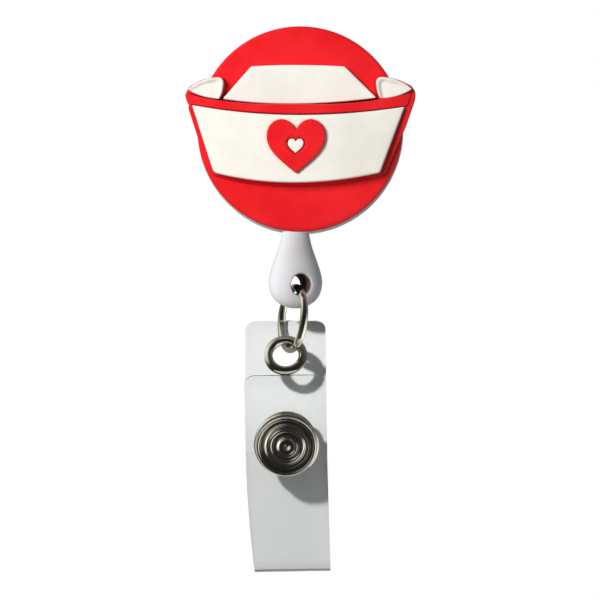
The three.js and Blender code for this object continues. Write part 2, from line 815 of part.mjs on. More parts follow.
function makeClip() {
  const { width, sheet, front, top, jaw, pin, ear, throat } = clip;
  const back = front + sheet;
  const meet = grip.y;
  const plan = new THREE.Shape();
  const half = width / 2;
  plan.moveTo(-half, jaw - 1);
  plan.lineTo(half, jaw - 1);
  plan.lineTo(half, top - 3);
  plan.absarc(0, top - 3, half, 0, 180 * DEG);
  const plate = slab(plan, back, front, 8).intersect(box([-20, -20, jaw], [20, 20, top]));
  const lip = box([-half, back - 0.1, jaw], [half, meet - 0.1, jaw + sheet]);
  const earX = half - sheet / 2;
  const ears = [-1, 1].map((s) =>
    earPlate(s * earX, ear.low, ear.high, back - 0.1, ear.back, pin.y, pin.z, 1.4),
  );
  const pinHole = rodAlongX(pin.radius + 0.08, 20, pin.y, pin.z, 16);
  const rivetHole = rodAlongY(1.2, front - 1, back + 1, 0, 0, 16);
  const base = cutBy(
    joined(plate, lip, ...ears),
    pinHole,
    rivetHole,
    ...teeth(width, meet - 0.1, jaw + sheet / 2, 0.45),
  );

  // The lever: a bent plate whose tab stands off at the top and whose jaw closes on the lip.
  const outer = throat + sheet;
  const side = outlineOf([
    [meet + 0.1, jaw],
    [outer - 0.6, jaw],
    [outer, jaw + 0.7],
    [outer, 5.0],
    [14.6, 12.9],
    [14.1, 13.3],
    [13.75, 13.0],
    [throat, 5.2],
    [throat, jaw + 1.2],
    [throat - 0.4, jaw + sheet],
    [meet + 0.1, jaw + sheet],
  ]);
  const neck = half - sheet - 0.15;
  const leverPlan = outlineOf([
    [-half, jaw - 1],
    [half, jaw - 1],
    [half, ear.low - 1.8],
    [neck, ear.low - 1.0],
    [neck, ear.high + 1.2],
    [half, ear.high + 2.2],
    [half, 11.5],
    [half - 2, 14],
    [-half + 2, 14],
    [-half, 11.5],
    [-half, ear.high + 2.2],
    [-neck, ear.high + 1.2],
    [-neck, ear.low - 1.0],
    [-half, ear.low - 1.8],
  ]);
  const leverPlate = bar(side, width).intersect(slab(leverPlan, 20, 0, 1));
  const innerEars = [-1, 1].map((s) => {
    const cheek = new THREE.Shape();
    cheek.moveTo(throat + 0.1, pin.z - 1.4);
    cheek.lineTo(throat + 0.1, pin.z + 1.4);
    cheek.lineTo(pin.y, pin.z + 1.4);
    cheek.absarc(pin.y, pin.z, 1.4, 90 * DEG, 270 * DEG);
    return bar(cheek, sheet, 6).translate([s * (neck - sheet / 2), 0, 0]);
  });
  const lever = cutBy(
    joined(leverPlate, ...innerEars),
    pinHole,
    ...teeth(width, meet + 0.1, jaw + sheet / 2, 0.45),
  );

  const pinRod = joined(
    rodAlongX(pin.radius, width + 0.5, pin.y, pin.z, 16),
    ...[-1, 1].map((s) =>
      rodAlongX(pin.radius + 0.4, 0.35, pin.y, pin.z, 16).translate([s * (half + 0.25), 0, 0]),
    ),
  );
  return group(
    part("clip_base", base, finishes.nickel()),
    part("clip_lever", lever, finishes.nickel()),
    part("clip_pin", pinRod, finishes.nickel()),
    part("clip_spring", makeClipSpring(), finishes.springSteel()),
    part("swivel_rivet", makeRivet(), finishes.nickel()),
    part("swivel_washer", makeWasher(), finishes.naturalPlastic()),
  );
}

// A torsion spring round the pin: one leg lies on the base, the other on the lever.
function makeClipSpring() {
  const { pin, front, sheet } = clip;
  const wire = 0.6;
  const radius = pin.radius + wire / 2 + 0.15;
  const turns = 3;
  const pitch = 0.85;
  const from = 200;
  const to = from + 360 * turns + 140;
  const at = (degrees) => {
    const x = ((degrees - (from + to) / 2) / 360) * pitch;
    const angle = degrees * DEG;
    return [x, pin.y + radius * Math.cos(angle), pin.z + radius * Math.sin(angle)];
  };
  const steps = 34;
  const coil = Array.from({ length: steps + 1 }, (_, i) => at(from + ((to - from) * i) / steps));
  const first = coil[0];
  const last = coil.at(-1);
  const baseLeg = [
    [first[0], front + sheet + wire / 2 + 0.12, pin.z + 7.2],
    [first[0], front + sheet + wire / 2 + 0.25, pin.z + 3.6],
  ];
  const leverLeg = [
    [last[0], pin.y + 1.6, pin.z + 2.2],
    [last[0], 12.1, pin.z + 5.2],
  ];
  return tube([...baseLeg, ...coil, ...leverLeg], wire, 84);
}

function makeRivet() {
  const back = clip.front + clip.sheet;
  return turned(
    [
      [0, 0.5],
      [0.8, 0.5],
      [1.0, 0.8],
      [1.0, back + 0.06],
      [2.4, back + 0.06],
      [2.5, back + 0.25],
      [1.8, back + 0.7],
      [0, back + 0.85],
    ],
    24,
  );
}

function makeWasher() {
  return turned(
    [
      [1.15, casing.halfDepth + 0.04],
      [3.6, casing.halfDepth + 0.04],
      [3.6, clip.front - 0.04],
      [1.15, clip.front - 0.04],
    ],
    32,
  );
}

// ---------------------------------------------------------------- assembly

const dropPart = part("cord_end_drop", makeDrop(), finishes.whitePlastic());
dropPart.position.set(cord.x, 0, 0);
dropPart.rotation.z = drop.turn * DEG;

// The ring lies on the ends of the drop's hole, which its curve drops down to, and the eyelet's upper
// edge lies on the ring.
const ringTop = drop.hole.z - drop.hole.radius + ring.wire + ring.play + ring.rise;
const ringFoot = ringTop - 2 * ring.radius * Math.cos(ring.tilt * DEG);
const ringPart = part("wire_ring", makeRing(), finishes.nickel());
ringPart.position.set(cord.x, 0, ringTop);
ringPart.rotation.set(0, ring.tilt * DEG, drop.turn * DEG, "ZYX");

const strapParts = makeStrap();
const eyeletLean = (strap.lean - strap.pitch) * DEG;
strapParts.position.set(
  strap.x,
  -eyelet.hole * Math.sin(eyeletLean),
  ringFoot + ring.wire + ring.slack - eyelet.hole * Math.cos(eyeletLean),
);
strapParts.rotation.set(strap.pitch * DEG, strap.roll * DEG, strap.turn * DEG, "ZYX");

const badgeReel = group(makeReel(), dropPart, ringPart, strapParts, makeClip());
badgeReel.position.set(0, -grip.y, -grip.z);

export default group(badgeReel);
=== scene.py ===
import bpy
import bmesh
import math
from functools import partial
from mathutils import Euler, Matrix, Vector, noise
from mathutils.geometry import delaunay_2d_cdt


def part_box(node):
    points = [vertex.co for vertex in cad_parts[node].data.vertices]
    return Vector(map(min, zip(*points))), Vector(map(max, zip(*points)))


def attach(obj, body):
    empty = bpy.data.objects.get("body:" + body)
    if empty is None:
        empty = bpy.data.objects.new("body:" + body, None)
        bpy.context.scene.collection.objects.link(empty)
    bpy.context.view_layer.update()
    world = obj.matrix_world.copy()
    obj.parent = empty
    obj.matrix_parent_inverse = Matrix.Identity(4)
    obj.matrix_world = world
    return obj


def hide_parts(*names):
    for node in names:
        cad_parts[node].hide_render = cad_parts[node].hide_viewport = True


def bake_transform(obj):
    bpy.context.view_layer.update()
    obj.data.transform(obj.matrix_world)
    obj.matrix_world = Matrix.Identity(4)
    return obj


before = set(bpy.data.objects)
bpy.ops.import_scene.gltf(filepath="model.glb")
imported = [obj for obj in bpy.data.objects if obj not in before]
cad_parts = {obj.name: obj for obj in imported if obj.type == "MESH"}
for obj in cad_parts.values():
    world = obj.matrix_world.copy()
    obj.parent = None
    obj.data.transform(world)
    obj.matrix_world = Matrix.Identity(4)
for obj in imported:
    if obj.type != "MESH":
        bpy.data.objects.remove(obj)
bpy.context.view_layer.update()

# the reel's axis, which every size below is measured from, in millimetres
spoolLow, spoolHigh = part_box("spool")
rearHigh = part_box("rear_shell")[1]
reelCentre = Vector(((spoolLow.x + spoolHigh.x) / 2, rearHigh.y - 0.0042, (spoolLow.z + spoolHigh.z) / 2))


def at(x, y, z):
    return reelCentre + Vector((x, y, z)) * 0.001


def smoothStep(low, high, value):
    t = min(1, max(0, (value - low) / (high - low)))
    return t * t * (3 - 2 * t)


# camera

shot = {"azimuth": 0.8, "distance": 353, "height": -26.6, "lens": 136.4}
angle = math.radians(shot["azimuth"])
towardCamera = Vector((math.sin(angle), -math.cos(angle), 0))
camera = bpy.data.objects.new("camera", bpy.data.cameras.new("camera"))
bpy.context.collection.objects.link(camera)
camera.data.lens = shot["lens"]
camera.data.sensor_width = 36
camera.data.clip_start = 0.01
camera.location = at(0, -6.6, shot["height"]) + towardCamera * shot["distance"] * 0.001
camera.rotation_mode = "QUATERNION"
camera.rotation_quaternion = (-towardCamera).to_track_quat("-Z", "Y")
bpy.context.scene.camera = camera
print("camera placed")


# finishes

class Wire:
    # one socket of a finish; arithmetic on it adds Math nodes
    def __init__(self, finish, socket):
        self.finish = finish
        self.socket = socket

    def combine(self, operation, first, second):
        return self.finish.add("ShaderNodeMath", {"operation": operation}, {0: first, 1: second})

    def __add__(self, other):
        return self.combine("ADD", self, other)

    def __sub__(self, other):
        return self.combine("SUBTRACT", self, other)

    def __rsub__(self, other):
        return self.combine("SUBTRACT", other, self)

    def __mul__(self, other):
        return self.combine("MULTIPLY", self, other)

    def __pow__(self, other):
        return self.combine("POWER", self, other)


class Finish:
    def __init__(self, name, slot, **fixed):
        self.material = bpy.data.materials.new(name)
        self.material.use_nodes = True
        self.slot = slot
        self.tree = self.material.node_tree
        self.tree.nodes.clear()
        self.shader = self.tree.nodes.new("ShaderNodeBsdfPrincipled")
        output = self.tree.nodes.new("ShaderNodeOutputMaterial")
        self.tree.links.new(self.shader.outputs[0], output.inputs[0])
        self.place = self.add("ShaderNodeTexCoord", {}, {}, "Object")
        for socketName, value in fixed.items():
            self.shader.inputs[socketName.replace("_", " ")].default_value = value

    def add(self, kind, settings=None, inputs=None, output=0):
        node = self.tree.nodes.new(kind)
        for key, value in (settings or {}).items():
            setattr(node, key, value)
        for key, value in (inputs or {}).items():
            self.feed(node.inputs[key], value)
        return Wire(self, node.outputs[output])

    def feed(self, socket, value):
        if isinstance(value, Wire):
            self.tree.links.new(value.socket, socket)
        else:
            socket.default_value = value

    def noise(self, perMetre, detail=3, roughness=0.55, place=None):
        inputs = {"Vector": place or self.place, "Scale": perMetre, "Detail": detail, "Roughness": roughness}
        return self.add("ShaderNodeTexNoise", {}, inputs)

    def between(self, low, high, value):
        inputs = {"Value": value, "From Min": low, "From Max": high}
        return self.add("ShaderNodeMapRange", {"interpolation_type": "SMOOTHSTEP"}, inputs)

    def mixed(self, factor, first, second):
        return self.add("ShaderNodeMix", {"data_type": "RGBA"}, {0: factor, 6: first, 7: second}, 2)

    def vectors(self, operation, first, second, output=0):
        return self.add("ShaderNodeVectorMath", {"operation": operation}, {0: first, 1: second}, output)

    def stretched(self, x, y, z):
        return self.add("ShaderNodeMapping", {}, {"Vector": self.place, "Scale": (x, y, z)})

    def bump(self, height, depth, strength=1.0):
        normal = self.add("ShaderNodeBump", {}, {"Height": height, "Distance": depth, "Strength": strength})
        self.feed(self.shader.inputs["Normal"], normal)

    def set(self, socketName, value):
        self.feed(self.shader.inputs[socketName], value)


def softPvc(name, slot, dark, light, creaseShade, roughness):
    made = Finish(name, slot, IOR=1.5, Specular_IOR_Level=0.35)
    clouds = made.noise(170, 2)
    grain = made.noise(5200, 3, 0.65)
    # painted shade: an ambient occlusion mask darkens the colour in creases and round raised parts
    corners = made.add("ShaderNodeAmbientOcclusion", {"samples": 8}, {"Distance": 0.0007}, "AO")
    skin = made.mixed(made.between(0.3, 0.7, clouds), dark, light)
    made.set("Base Color", made.mixed(made.between(0.35, 0.8, corners), creaseShade, skin))
    made.set("Roughness", clouds * 0.1 + grain * 0.08 + (roughness - 0.09))
    made.bump(grain + made.noise(900, 2) * 0.8, 0.000016, 0.55)
    return made


def moulded(name, slot, colour, tint, roughness):
    made = Finish(name, slot, IOR=1.49, Coat_Weight=0.25, Coat_Roughness=0.12)
    flow = made.noise(60, 3, 0.5, made.stretched(1, 1, 0.35))
    made.set("Base Color", made.mixed(made.between(0.25, 0.75, flow), colour, tint))
    specks = made.noise(2600, 4, 0.6)
    made.set("Roughness", specks * 0.12 + (roughness - 0.05))
    made.bump(specks, 0.000006, 0.4)
    return made


def platedMetal(name, slot, colour, tarnish, roughness):
    made = Finish(name, slot, Metallic=1.0)
    blotches = made.noise(420, 4, 0.6)
    hairlines = made.noise(1900, 3, 0.7, made.stretched(1, 1, 7))
    made.set("Base Color", made.mixed(made.between(0.45, 0.85, blotches), colour, tarnish))
    made.set("Roughness", hairlines * 0.12 + blotches * 0.06 + (roughness - 0.08))
    made.bump(hairlines, 0.000004, 0.35)
    return made


# each finish has a name, its slot, two colours that drift into each other and a roughness; the soft PVC
# has a third colour, painted shade for its creases and the corners round its raised parts
redPvc = softPvc(
    "redPvc", "red_pvc",
    (0.8, 0.011, 0.016, 1), (0.88, 0.018, 0.024, 1), (0.3, 0.003, 0.005, 1), 0.42,
)
whitePvc = softPvc(
    "whitePvc", "white_pvc",
    (0.86, 0.84, 0.775, 1), (0.92, 0.91, 0.86, 1), (0.62, 0.56, 0.5, 1), 0.45,
)
glossWhite = moulded("glossWhite", "white_plastic", (0.83, 0.83, 0.86, 1), (0.88, 0.88, 0.9, 1), 0.2)
naturalNylon = moulded(
    "naturalNylon", "natural_plastic",
    (0.62, 0.63, 0.59, 1), (0.72, 0.72, 0.68, 1), 0.42,
)
nickel = platedMetal("nickel", "nickel", (0.68, 0.65, 0.56, 1), (0.53, 0.495, 0.39, 1), 0.08)
blueSteel = platedMetal("blueSteel", "spring_steel", (0.2, 0.21, 0.24, 1), (0.13, 0.12, 0.12, 1), 0.28)

braid = Finish("braid", "cord", Roughness=0.75)
crossed = []
for sign in (1, -1):
    inputs = {"Vector": braid.stretched(sign, 1, 1), "Scale": 640, "Distortion": 0.6}
    crossed.append(braid.add("ShaderNodeTexWave", {"bands_direction": "DIAGONAL"}, inputs))
weave = crossed[0] * crossed[1]
braid.set("Base Color", braid.mixed(weave, (0.66, 0.66, 0.65, 1), (0.88, 0.88, 0.87, 1)))
braid.bump(weave, 0.00005, 0.8)

tapeFoam = Finish("tapeFoam", "foam", Roughness=0.95)
cells = tapeFoam.add("ShaderNodeTexVoronoi", {}, {"Vector": tapeFoam.place, "Scale": 4200})
tapeFoam.set("Base Color", tapeFoam.mixed(cells, (0.62, 0.6, 0.53, 1), (0.84, 0.83, 0.78, 1)))
tapeFoam.bump(cells, 0.00006)

vinyl = Finish("vinyl", "clear_vinyl", IOR=1.42, Roughness=0.05, Transmission_Weight=1.0)
haze = vinyl.noise(38, 3, 0.55)
scuffs = vinyl.noise(260, 4, 0.7, vinyl.stretched(1, 1, 0.25))
cloudy = vinyl.between(0.35, 0.7, haze)
vinyl.set("Base Color", vinyl.mixed(cloudy, (0.955, 0.965, 0.95, 1), (0.985, 0.985, 0.975, 1)))
vinyl.bump(haze + scuffs * 0.12, 0.0003, 0.35)
print("finishes made")


# mesh helpers

def addPiece(name, mesh, finish, sharp=40):
    edited = bmesh.new()
    edited.from_mesh(mesh)
    for face in edited.faces:
        face.smooth = True
    limit = math.radians(sharp)
    for edge in edited.edges:
        edge.smooth = len(edge.link_faces) == 2 and edge.calc_face_angle(0) < limit
    edited.to_mesh(mesh)
    edited.free()
    piece = bpy.data.objects.new(name, mesh)
    bpy.context.collection.objects.link(piece)
    mesh.materials.clear()
    mesh.materials.append(finish.material)
    return piece


def meshOf(name, vertices, faces, tidy=True):
    mesh = bpy.data.meshes.new(name)
    mesh.from_pydata([tuple(v) for v in vertices], [], faces)
    if tidy:
        edited = bmesh.new()
        edited.from_mesh(mesh)
        bmesh.ops.remove_doubles(edited, verts=edited.verts, dist=1e-7)
        bmesh.ops.recalc_face_normals(edited, faces=edited.faces)
        edited.to_mesh(mesh)
        edited.free()
    return mesh


# a closed body turned round an axis from (radius, height) points; toPlace makes a point from radius,
# angle and height
def turnedMesh(name, profile, sides, toPlace):
    vertices, rings, faces = [], [], []
    closed = profile[0][0] > 0
    for radius, height in profile:
        if radius == 0:
            rings.append([len(vertices)] * sides)
            vertices.append(toPlace(0, 0, height))
        else:
            rings.append(list(range(len(vertices), len(vertices) + sides)))
            vertices += [toPlace(radius, 2 * math.pi * i / sides, height) for i in range(sides)]
    pairs = list(zip(rings, rings[1:])) + ([(rings[-1], rings[0])] if closed else [])
    for lower, upper in pairs:
        for i in range(sides):
            j = (i + 1) % sides
            corner = [lower[i], lower[j], upper[j], upper[i]]
            corner = list(dict.fromkeys(corner))
            if len(corner) > 2:
                faces.append(corner)
    return meshOf(name, vertices, faces)


def rounded(points, steps=4):
    # (radius, height, rounding) points, with each marked corner rounded
    made = []
    for i, point in enumerate(points):
        rounding = point[2] if len(point) > 2 else 0
        if not rounding:
            made.append((point[0], point[1]))
            continue
        here = Vector(point[:2])
        before = Vector(points[i - 1][:2])
        after = Vector(points[(i + 1) % len(points)][:2])
        start = here + (before - here).normalized() * rounding
        end = here + (after - here).normalized() * rounding
        for k in range(steps + 1):
            t = k / steps
            spot = start * (1 - t) ** 2 + here * 2 * t * (1 - t) + end * t * t
            made.append((spot.x, spot.y))
    return made


def roundY(radius, turn, height):
    return at(radius * math.cos(turn), height, radius * math.sin(turn))


def bow(start, middle, end, steps=24):
    # a quadratic curve through a middle point, without its last point
    control = [2 * m - (s + e) / 2 for s, m, e in zip(start, middle, end)]
    return [
        tuple((1 - t) ** 2 * s + 2 * t * (1 - t) * c + t * t * e for s, c, e in zip(start, control, end))
        for t in (k / steps for k in range(steps))
    ]


def evenly(points, spacing, closed=True):
    # the same outline with points at an even spacing
    loop = points + [points[0]] if closed else points
    lengths = [math.dist(a, b) for a, b in zip(loop, loop[1:])]
    total = sum(lengths)
    count = max(8, round(total / spacing))
    made, segment, walked = [], 0, 0.0
    for k in range(count):
        target = total * k / count
        while walked + lengths[segment] < target:
            walked += lengths[segment]
            segment += 1
        t = (target - walked) / lengths[segment]
        a, b = loop[segment], loop[segment + 1]
        made.append((a[0] + (b[0] - a[0]) * t, a[1] + (b[1] - a[1]) * t))
    return made


def softened(points, rounds):
    # corners rounded off by averaging each point with its neighbours
    for _ in range(rounds):
        points = [
            tuple((a[k] + 2 * b[k] + c[k]) / 4 for k in (0, 1))
            for a, b, c in zip(points[-1:] + points[:-1], points, points[1:] + points[:1])
        ]
    return points


def circleLine(x, z, radius, count=40):
    angles = [2 * math.pi * k / count for k in range(count)]
    return [(x + radius * math.cos(a), z + radius * math.sin(a)) for a in angles]


def signedArea(ring):
    return sum(a[0] * b[1] - b[0] * a[1] for a, b in zip(ring, ring[1:] + ring[:1])) / 2


def pushedOut(ring, distance):
    made = []
    for i in range(len(ring)):
        a, b, c = Vector(ring[i - 1]), Vector(ring[i]), Vector(ring[(i + 1) % len(ring)])
        first, second = (b - a).normalized(), (c - b).normalized()
        across = Vector((first.y, -first.x)) + Vector((second.y, -second.x))
        made.append(tuple(b + across.normalized() * distance))
    return made


def insideOf(ring, x, z):
    inside = False
    for (ax, az), (bx, bz) in zip(ring, ring[1:] + ring[:1]):
        if (az > z) != (bz > z) and x < (bx - ax) * (z - az) / (bz - az) + ax:
            inside = not inside
    return inside


def distanceTo(line, x, z):
    best = 1e9
    for (ax, az), (bx, bz) in zip(line, line[1:]):
        dx, dz = bx - ax, bz - az
        t = min(1, max(0, ((x - ax) * dx + (z - az) * dz) / (dx * dx + dz * dz + 1e-12)))
        best = min(best, math.hypot(x - ax - dx * t, z - az - dz * t))
    return best


# A moulded relief: an outline in X and Z that rises from the depth back to front(x, z), with its wall
# spread by draft at the back and its front edge rounded.
def reliefPiece(name, outline, finish, back, front, edge, draft, spacing, pitch, soften):
    ring = softened(evenly(outline, pitch), soften)
    if signedArea(ring) < 0:
        ring.reverse()
    vertices, faces = [], []
    steps = 5
    levels = [(draft, None), (draft * 0.15, 0.8)] if draft else [(0, None)]
    for k in range(steps + 1):
        sweep = k * math.pi / 2 / steps
        levels.append((-edge * (1 - math.cos(sweep)), edge * (1 - math.sin(sweep))))
    rows = []
    for spread, drop in levels:
        pushed = pushedOut(ring, spread)
        rows.append(list(range(len(vertices), len(vertices) + len(pushed))))
        vertices += [at(x, back if drop is None else front(x, z) + drop, z) for x, z in pushed]
    count = len(ring)
    for lower, upper in zip(rows, rows[1:]):
        for i in range(count):
            j = (i + 1) % count
            faces.append((lower[i], lower[j], upper[j], upper[i]))
    faces.append(tuple(reversed(rows[0])))
    # the front is filled with an even mesh, so that it can curve
    last = pushedOut(ring, levels[-1][0])
    inner = list(last)
    xs, zs = [p[0] for p in last], [p[1] for p in last]
    shrunk = pushedOut(ring, levels[-1][0] - spacing * 0.35)
    rowsUp = int((max(zs) - min(zs)) / (spacing * 0.87)) + 1
    for r in range(1, rowsUp):
        z = min(zs) + r * spacing * 0.87
        across = int((max(xs) - min(xs)) / spacing) + 1
        for c in range(across + 1):
            x = min(xs) + (c + (r % 2) * 0.5) * spacing
            if insideOf(shrunk, x, z):
                inner.append((x, z))
    edges = [(i, (i + 1) % count) for i in range(count)]
    filled = delaunay_2d_cdt([Vector(p) for p in inner], edges, [], 1, 1e-7)
    start = len(vertices)
    same = {}
    for index, origins in enumerate(filled[3]):
        ringOnes = [o for o in origins if o < count]
        same[index] = rows[-1][ringOnes[0]] if ringOnes else start + index
    vertices += [at(p.x, front(p.x, p.y), p.y) for p in filled[0]]
    faces += [tuple(same[i] for i in face) for face in filled[2]]
    mesh = bpy.data.meshes.new(name)
    mesh.from_pydata([tuple(v) for v in vertices], [], faces)
    edited = bmesh.new()
    edited.from_mesh(mesh)
    bmesh.ops.delete(edited, geom=[v for v in edited.verts if not v.link_faces], context="VERTS")
    bmesh.ops.recalc_face_normals(edited, faces=edited.faces)
    edited.to_mesh(mesh)
    edited.free()
    return addPiece(name, mesh, finish, 60)


# a copy of a CAD node that rides on a body, with its facets merged and its curves shaded smooth
def smoothCopy(node, name, finish, body, sharp=32, bevel=0.0):
    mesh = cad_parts[node].data.copy()
    edited = bmesh.new()
    edited.from_mesh(mesh)
    bmesh.ops.remove_doubles(edited, verts=edited.verts, dist=2e-6)
    bmesh.ops.dissolve_degenerate(edited, edges=edited.edges, dist=1e-6)
    if bevel:
        nearlyFlat = math.radians(1)
        bmesh.ops.dissolve_limit(edited, angle_limit=nearlyFlat, verts=edited.verts, edges=edited.edges)
    edited.to_mesh(mesh)
    edited.free()
    piece = addPiece(name, mesh, finish, sharp)
    if bevel:
        edging = piece.modifiers.new("edging", "BEVEL")
        edging.width = bevel * 0.001
        edging.segments = 2
        edging.limit_method = "ANGLE"
        edging.angle_limit = math.radians(40)
        edging.harden_normals = True
    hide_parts(node)
    if body:
        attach(piece, body)
    return piece


def sweptTube(name, points, radius, sides):
    # a tube that follows points in one upright plane, with closed ends
    vertices, faces = [], []
    side = Vector((0, 1, 0))
    for i, point in enumerate(points):
        before, after = Vector(points[max(0, i - 1)]), Vector(points[min(len(points) - 1, i + 1)])
        across = (after - before).normalized().cross(side).normalized()
        for k in range(sides):
            turn = 2 * math.pi * k / sides
            spot = Vector(point) + (across * math.cos(turn) + side * math.sin(turn)) * radius
            vertices.append(at(*spot))
    for i in range(len(points) - 1):
        for k in range(sides):
            a, b = i * sides + k, i * sides + (k + 1) % sides
            faces.append((a, b, b + sides, a + sides))
    faces.append(tuple(range(sides)))
    faces.append(tuple(range(len(vertices) - sides, len(vertices))))
    return meshOf(name, vertices, faces)


def carved(piece, cutters):
    # the piece with the cutters taken out of it
    for cutter in cutters:
        hollow = piece.modifiers.new("hollow", "BOOLEAN")
        hollow.operation = "DIFFERENCE"
        hollow.solver = "EXACT"
        hollow.object = cutter
    bpy.context.view_layer.update()
    ready = piece.evaluated_get(bpy.context.evaluated_depsgraph_get())
    mesh = bpy.data.meshes.new_from_object(ready)
    piece.modifiers.clear()
    for cutter in cutters:
        bpy.data.objects.remove(cutter)
    return mesh


# soft cover

cover = {
    "face": -6.6, "dome": 0.4, "radius": 16.0, "back": -4.6, "bulge": 90.0,
    "skirt": 0.7, "band": 2.6, "panel": 2.95, "fold": 1.85, "foldFloor": 1.45, "crown": 0.85, "emblem": 0.7,
}


def bulged(level):
    return lambda x, z: cover["face"] - level + x * x / (2 * cover["bulge"])


def flat(level):
    return lambda x, z: cover["face"] - level


discProfile = rounded([
    (0, cover["back"]), (cover["radius"] - 0.02, cover["back"], 0.25),
    (cover["radius"], cover["face"] + 0.1, 0.7), (13.5, cover["face"] - 0.12, 0.9),
    (8, cover["face"] - 0.3, 0.8), (0, cover["face"] - cover["dome"]),
], 6)
coverDisc = addPiece("coverDisc", turnedMesh("coverDisc", discProfile, 160, roundY), redPvc, 50)
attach(coverDisc, "casing")

foldRight = [
    *bow((12.55, 4.5), (12.1, 5.4), (11.9, 6.4), 5),
    *bow((11.9, 6.4), (11.95, 7.55), (12.9, 7.85), 8),
    *bow((12.9, 7.85), (15.4, 7.25), (17.35, 5.98), 12),
    *bow((17.35, 5.98), (15.2, 4.98), (12.55, 4.5), 12),
]
foldLip = [(12.3, 4.3), (11.9, 6.4), (12.0, 7.4), (12.9, 7.85), (15.4, 7.25), (17.2, 6.3)]

skirtLine = [
    (-15.84, 0.2), (-17.45, 4.5), (-17.72, 5.5), (-17.2, 6.5), (-15.4, 7.5),
    (-12.9, 8.1), (-12.0, 8.0), (-11.62, 7.3), (-11.65, 6.4), (-12.2, 4.4),
    *bow((-12.2, 4.4), (-0.87, 3.6), (12.2, 4.4), 20),
    (12.2, 4.4), (11.65, 6.4), (11.62, 7.3), (12.0, 8.0), (12.9, 8.1), (15.4, 7.5),
    (17.3, 6.6), (17.9, 5.7), (17.85, 4.5), (16.5, 0.6), (13.3, -6.9), (12.2, -7.35),
    *bow((12.2, -7.3), (-0.87, -8.65), (-12.9, -7.25), 20),
    (-12.9, -7.25), (-13.75, -6.2),
]
capSkirt = reliefPiece(
    "capSkirt", skirtLine, redPvc, -6.3, flat(cover["skirt"]),
    edge=0.2, draft=0.06, spacing=1.2, pitch=0.2, soften=3,
)


def sagging(start, low, end, power, steps):
    # a line that hangs between two ends, flat in the middle and steeper at its ends
    middle = (start[0] + end[0]) / 2
    made = []
    for k in range(steps):
        x = start[0] + (end[0] - start[0]) * k / steps
        t = abs(x - middle) / (end[0] - middle)
        made.append((x, low + ((start[1] if x < middle else end[1]) - low) * t ** power))
    return made


bandLine = [
    *sagging((-17.6, 5.5), 3.58, (17.35, 5.7), 2.8, 60),
    *bow((17.35, 5.7), (17.05, 4.5), (16.6, 3.42), 5),
    *bow((16.6, 3.42), (-0.62, 2.05), (-16.97, 3.7), 60),
    *bow((-16.97, 3.7), (-17.4, 4.6), (-17.6, 5.5), 5),
]
capBand = reliefPiece(
    "capBand", bandLine, redPvc, -6.4, bulged(cover["band"]),
    edge=0.28, draft=0.3, spacing=0.7, pitch=0.2, soften=2,
)

panelLine = [
    *bow((-16.72, 3.62), (-0.62, 1.93), (16.25, 3.3), 60),
    (16.25, 3.3), (12.6, -6.4),
    *bow((12.45, -6.8), (12.2, -7.0), (11.7, -7.1), 4),
    *bow((11.7, -7.1), (-0.87, -8.5), (-12.55, -7.1), 40),
    *bow((-12.55, -7.1), (-13.25, -6.8), (-13.6, -6.0), 6),
]
panelWall = reliefPiece(
    "panelWall", panelLine, redPvc, -6.4, bulged(cover["panel"] - 0.75),
    edge=0.1, draft=0.75, spacing=1.5, pitch=0.25, soften=2,
)
capPanel = reliefPiece(
    "capPanel", panelLine, whitePvc, -7.5, bulged(cover["panel"]),
    edge=0.32, draft=0, spacing=0.8, pitch=0.2, soften=2,
)

crownLine = [
    (-12.0, 4.5), (-7.55, 9.6),
    *bow((-7.55, 9.6), (-0.4, 9.8), (6.95, 9.55), 20),
    (6.95, 9.55), (11.9, 4.65),
    *bow((11.9, 4.65), (-0.87, 3.72), (-12.0, 4.5), 24),
]
capCrown = reliefPiece(
    "capCrown", crownLine, whitePvc, -6.5, flat(0.4 + cover["crown"]),
    edge=0.25, draft=0.08, spacing=0.9, pitch=0.2, soften=2,
)


def foldFront(side):
    line = [(side * x, z) for x, z in foldLip]

    def front(x, z):
        lip = 1 - smoothStep(0.1, 0.75, distanceTo(line, x, z))
        rise = (cover["fold"] - cover["foldFloor"]) * (1 - 0.4 * smoothStep(13, 17.4, abs(x)))
        return cover["face"] - cover["foldFloor"] - lip * rise

    return front


capFolds = []
for side, name in ((-1, "capLeftFold"), (1, "capRightFold")):
    line = [(side * x, z) for x, z in foldRight]
    capFolds.append(reliefPiece(
        name, line, whitePvc, -6.7, foldFront(side),
        edge=0.22, draft=0.05, spacing=0.16, pitch=0.12, soften=2,
    ))


def heartLine(width, x, z):
    corners = [
        ((0, -0.46), (-0.18, -0.3), (-0.5, -0.1), (-0.5, 0.17)),
        ((-0.5, 0.17), (-0.5, 0.36), (-0.37, 0.46), (-0.25, 0.46)),
        ((-0.25, 0.46), (-0.13, 0.46), (-0.04, 0.38), (0, 0.27)),
    ]
    left = []
    for corner in corners:
        for t in (k / 14 for k in range(14)):
            shares = ((1 - t) ** 3, 3 * t * (1 - t) ** 2, 3 * t * t * (1 - t), t ** 3)
            left.append(tuple(sum(share * p[i] for share, p in zip(shares, corner)) for i in (0, 1)))
    right = [(-p[0], p[1]) for p in reversed(left[1:])]
    return [(x + p[0] * width, z + p[1] * width) for p in left + [(0, 0.27)] + right]


def emblemFront(x, z):
    base = bulged(cover["panel"] + cover["emblem"])(x, z)
    toInset = distanceTo(insetLine + insetLine[:1], x, z)
    inside = insideOf(insetLine, x, z)
    return base + 0.4 * (1 if inside else 1 - smoothStep(0.02, 0.22, toInset))


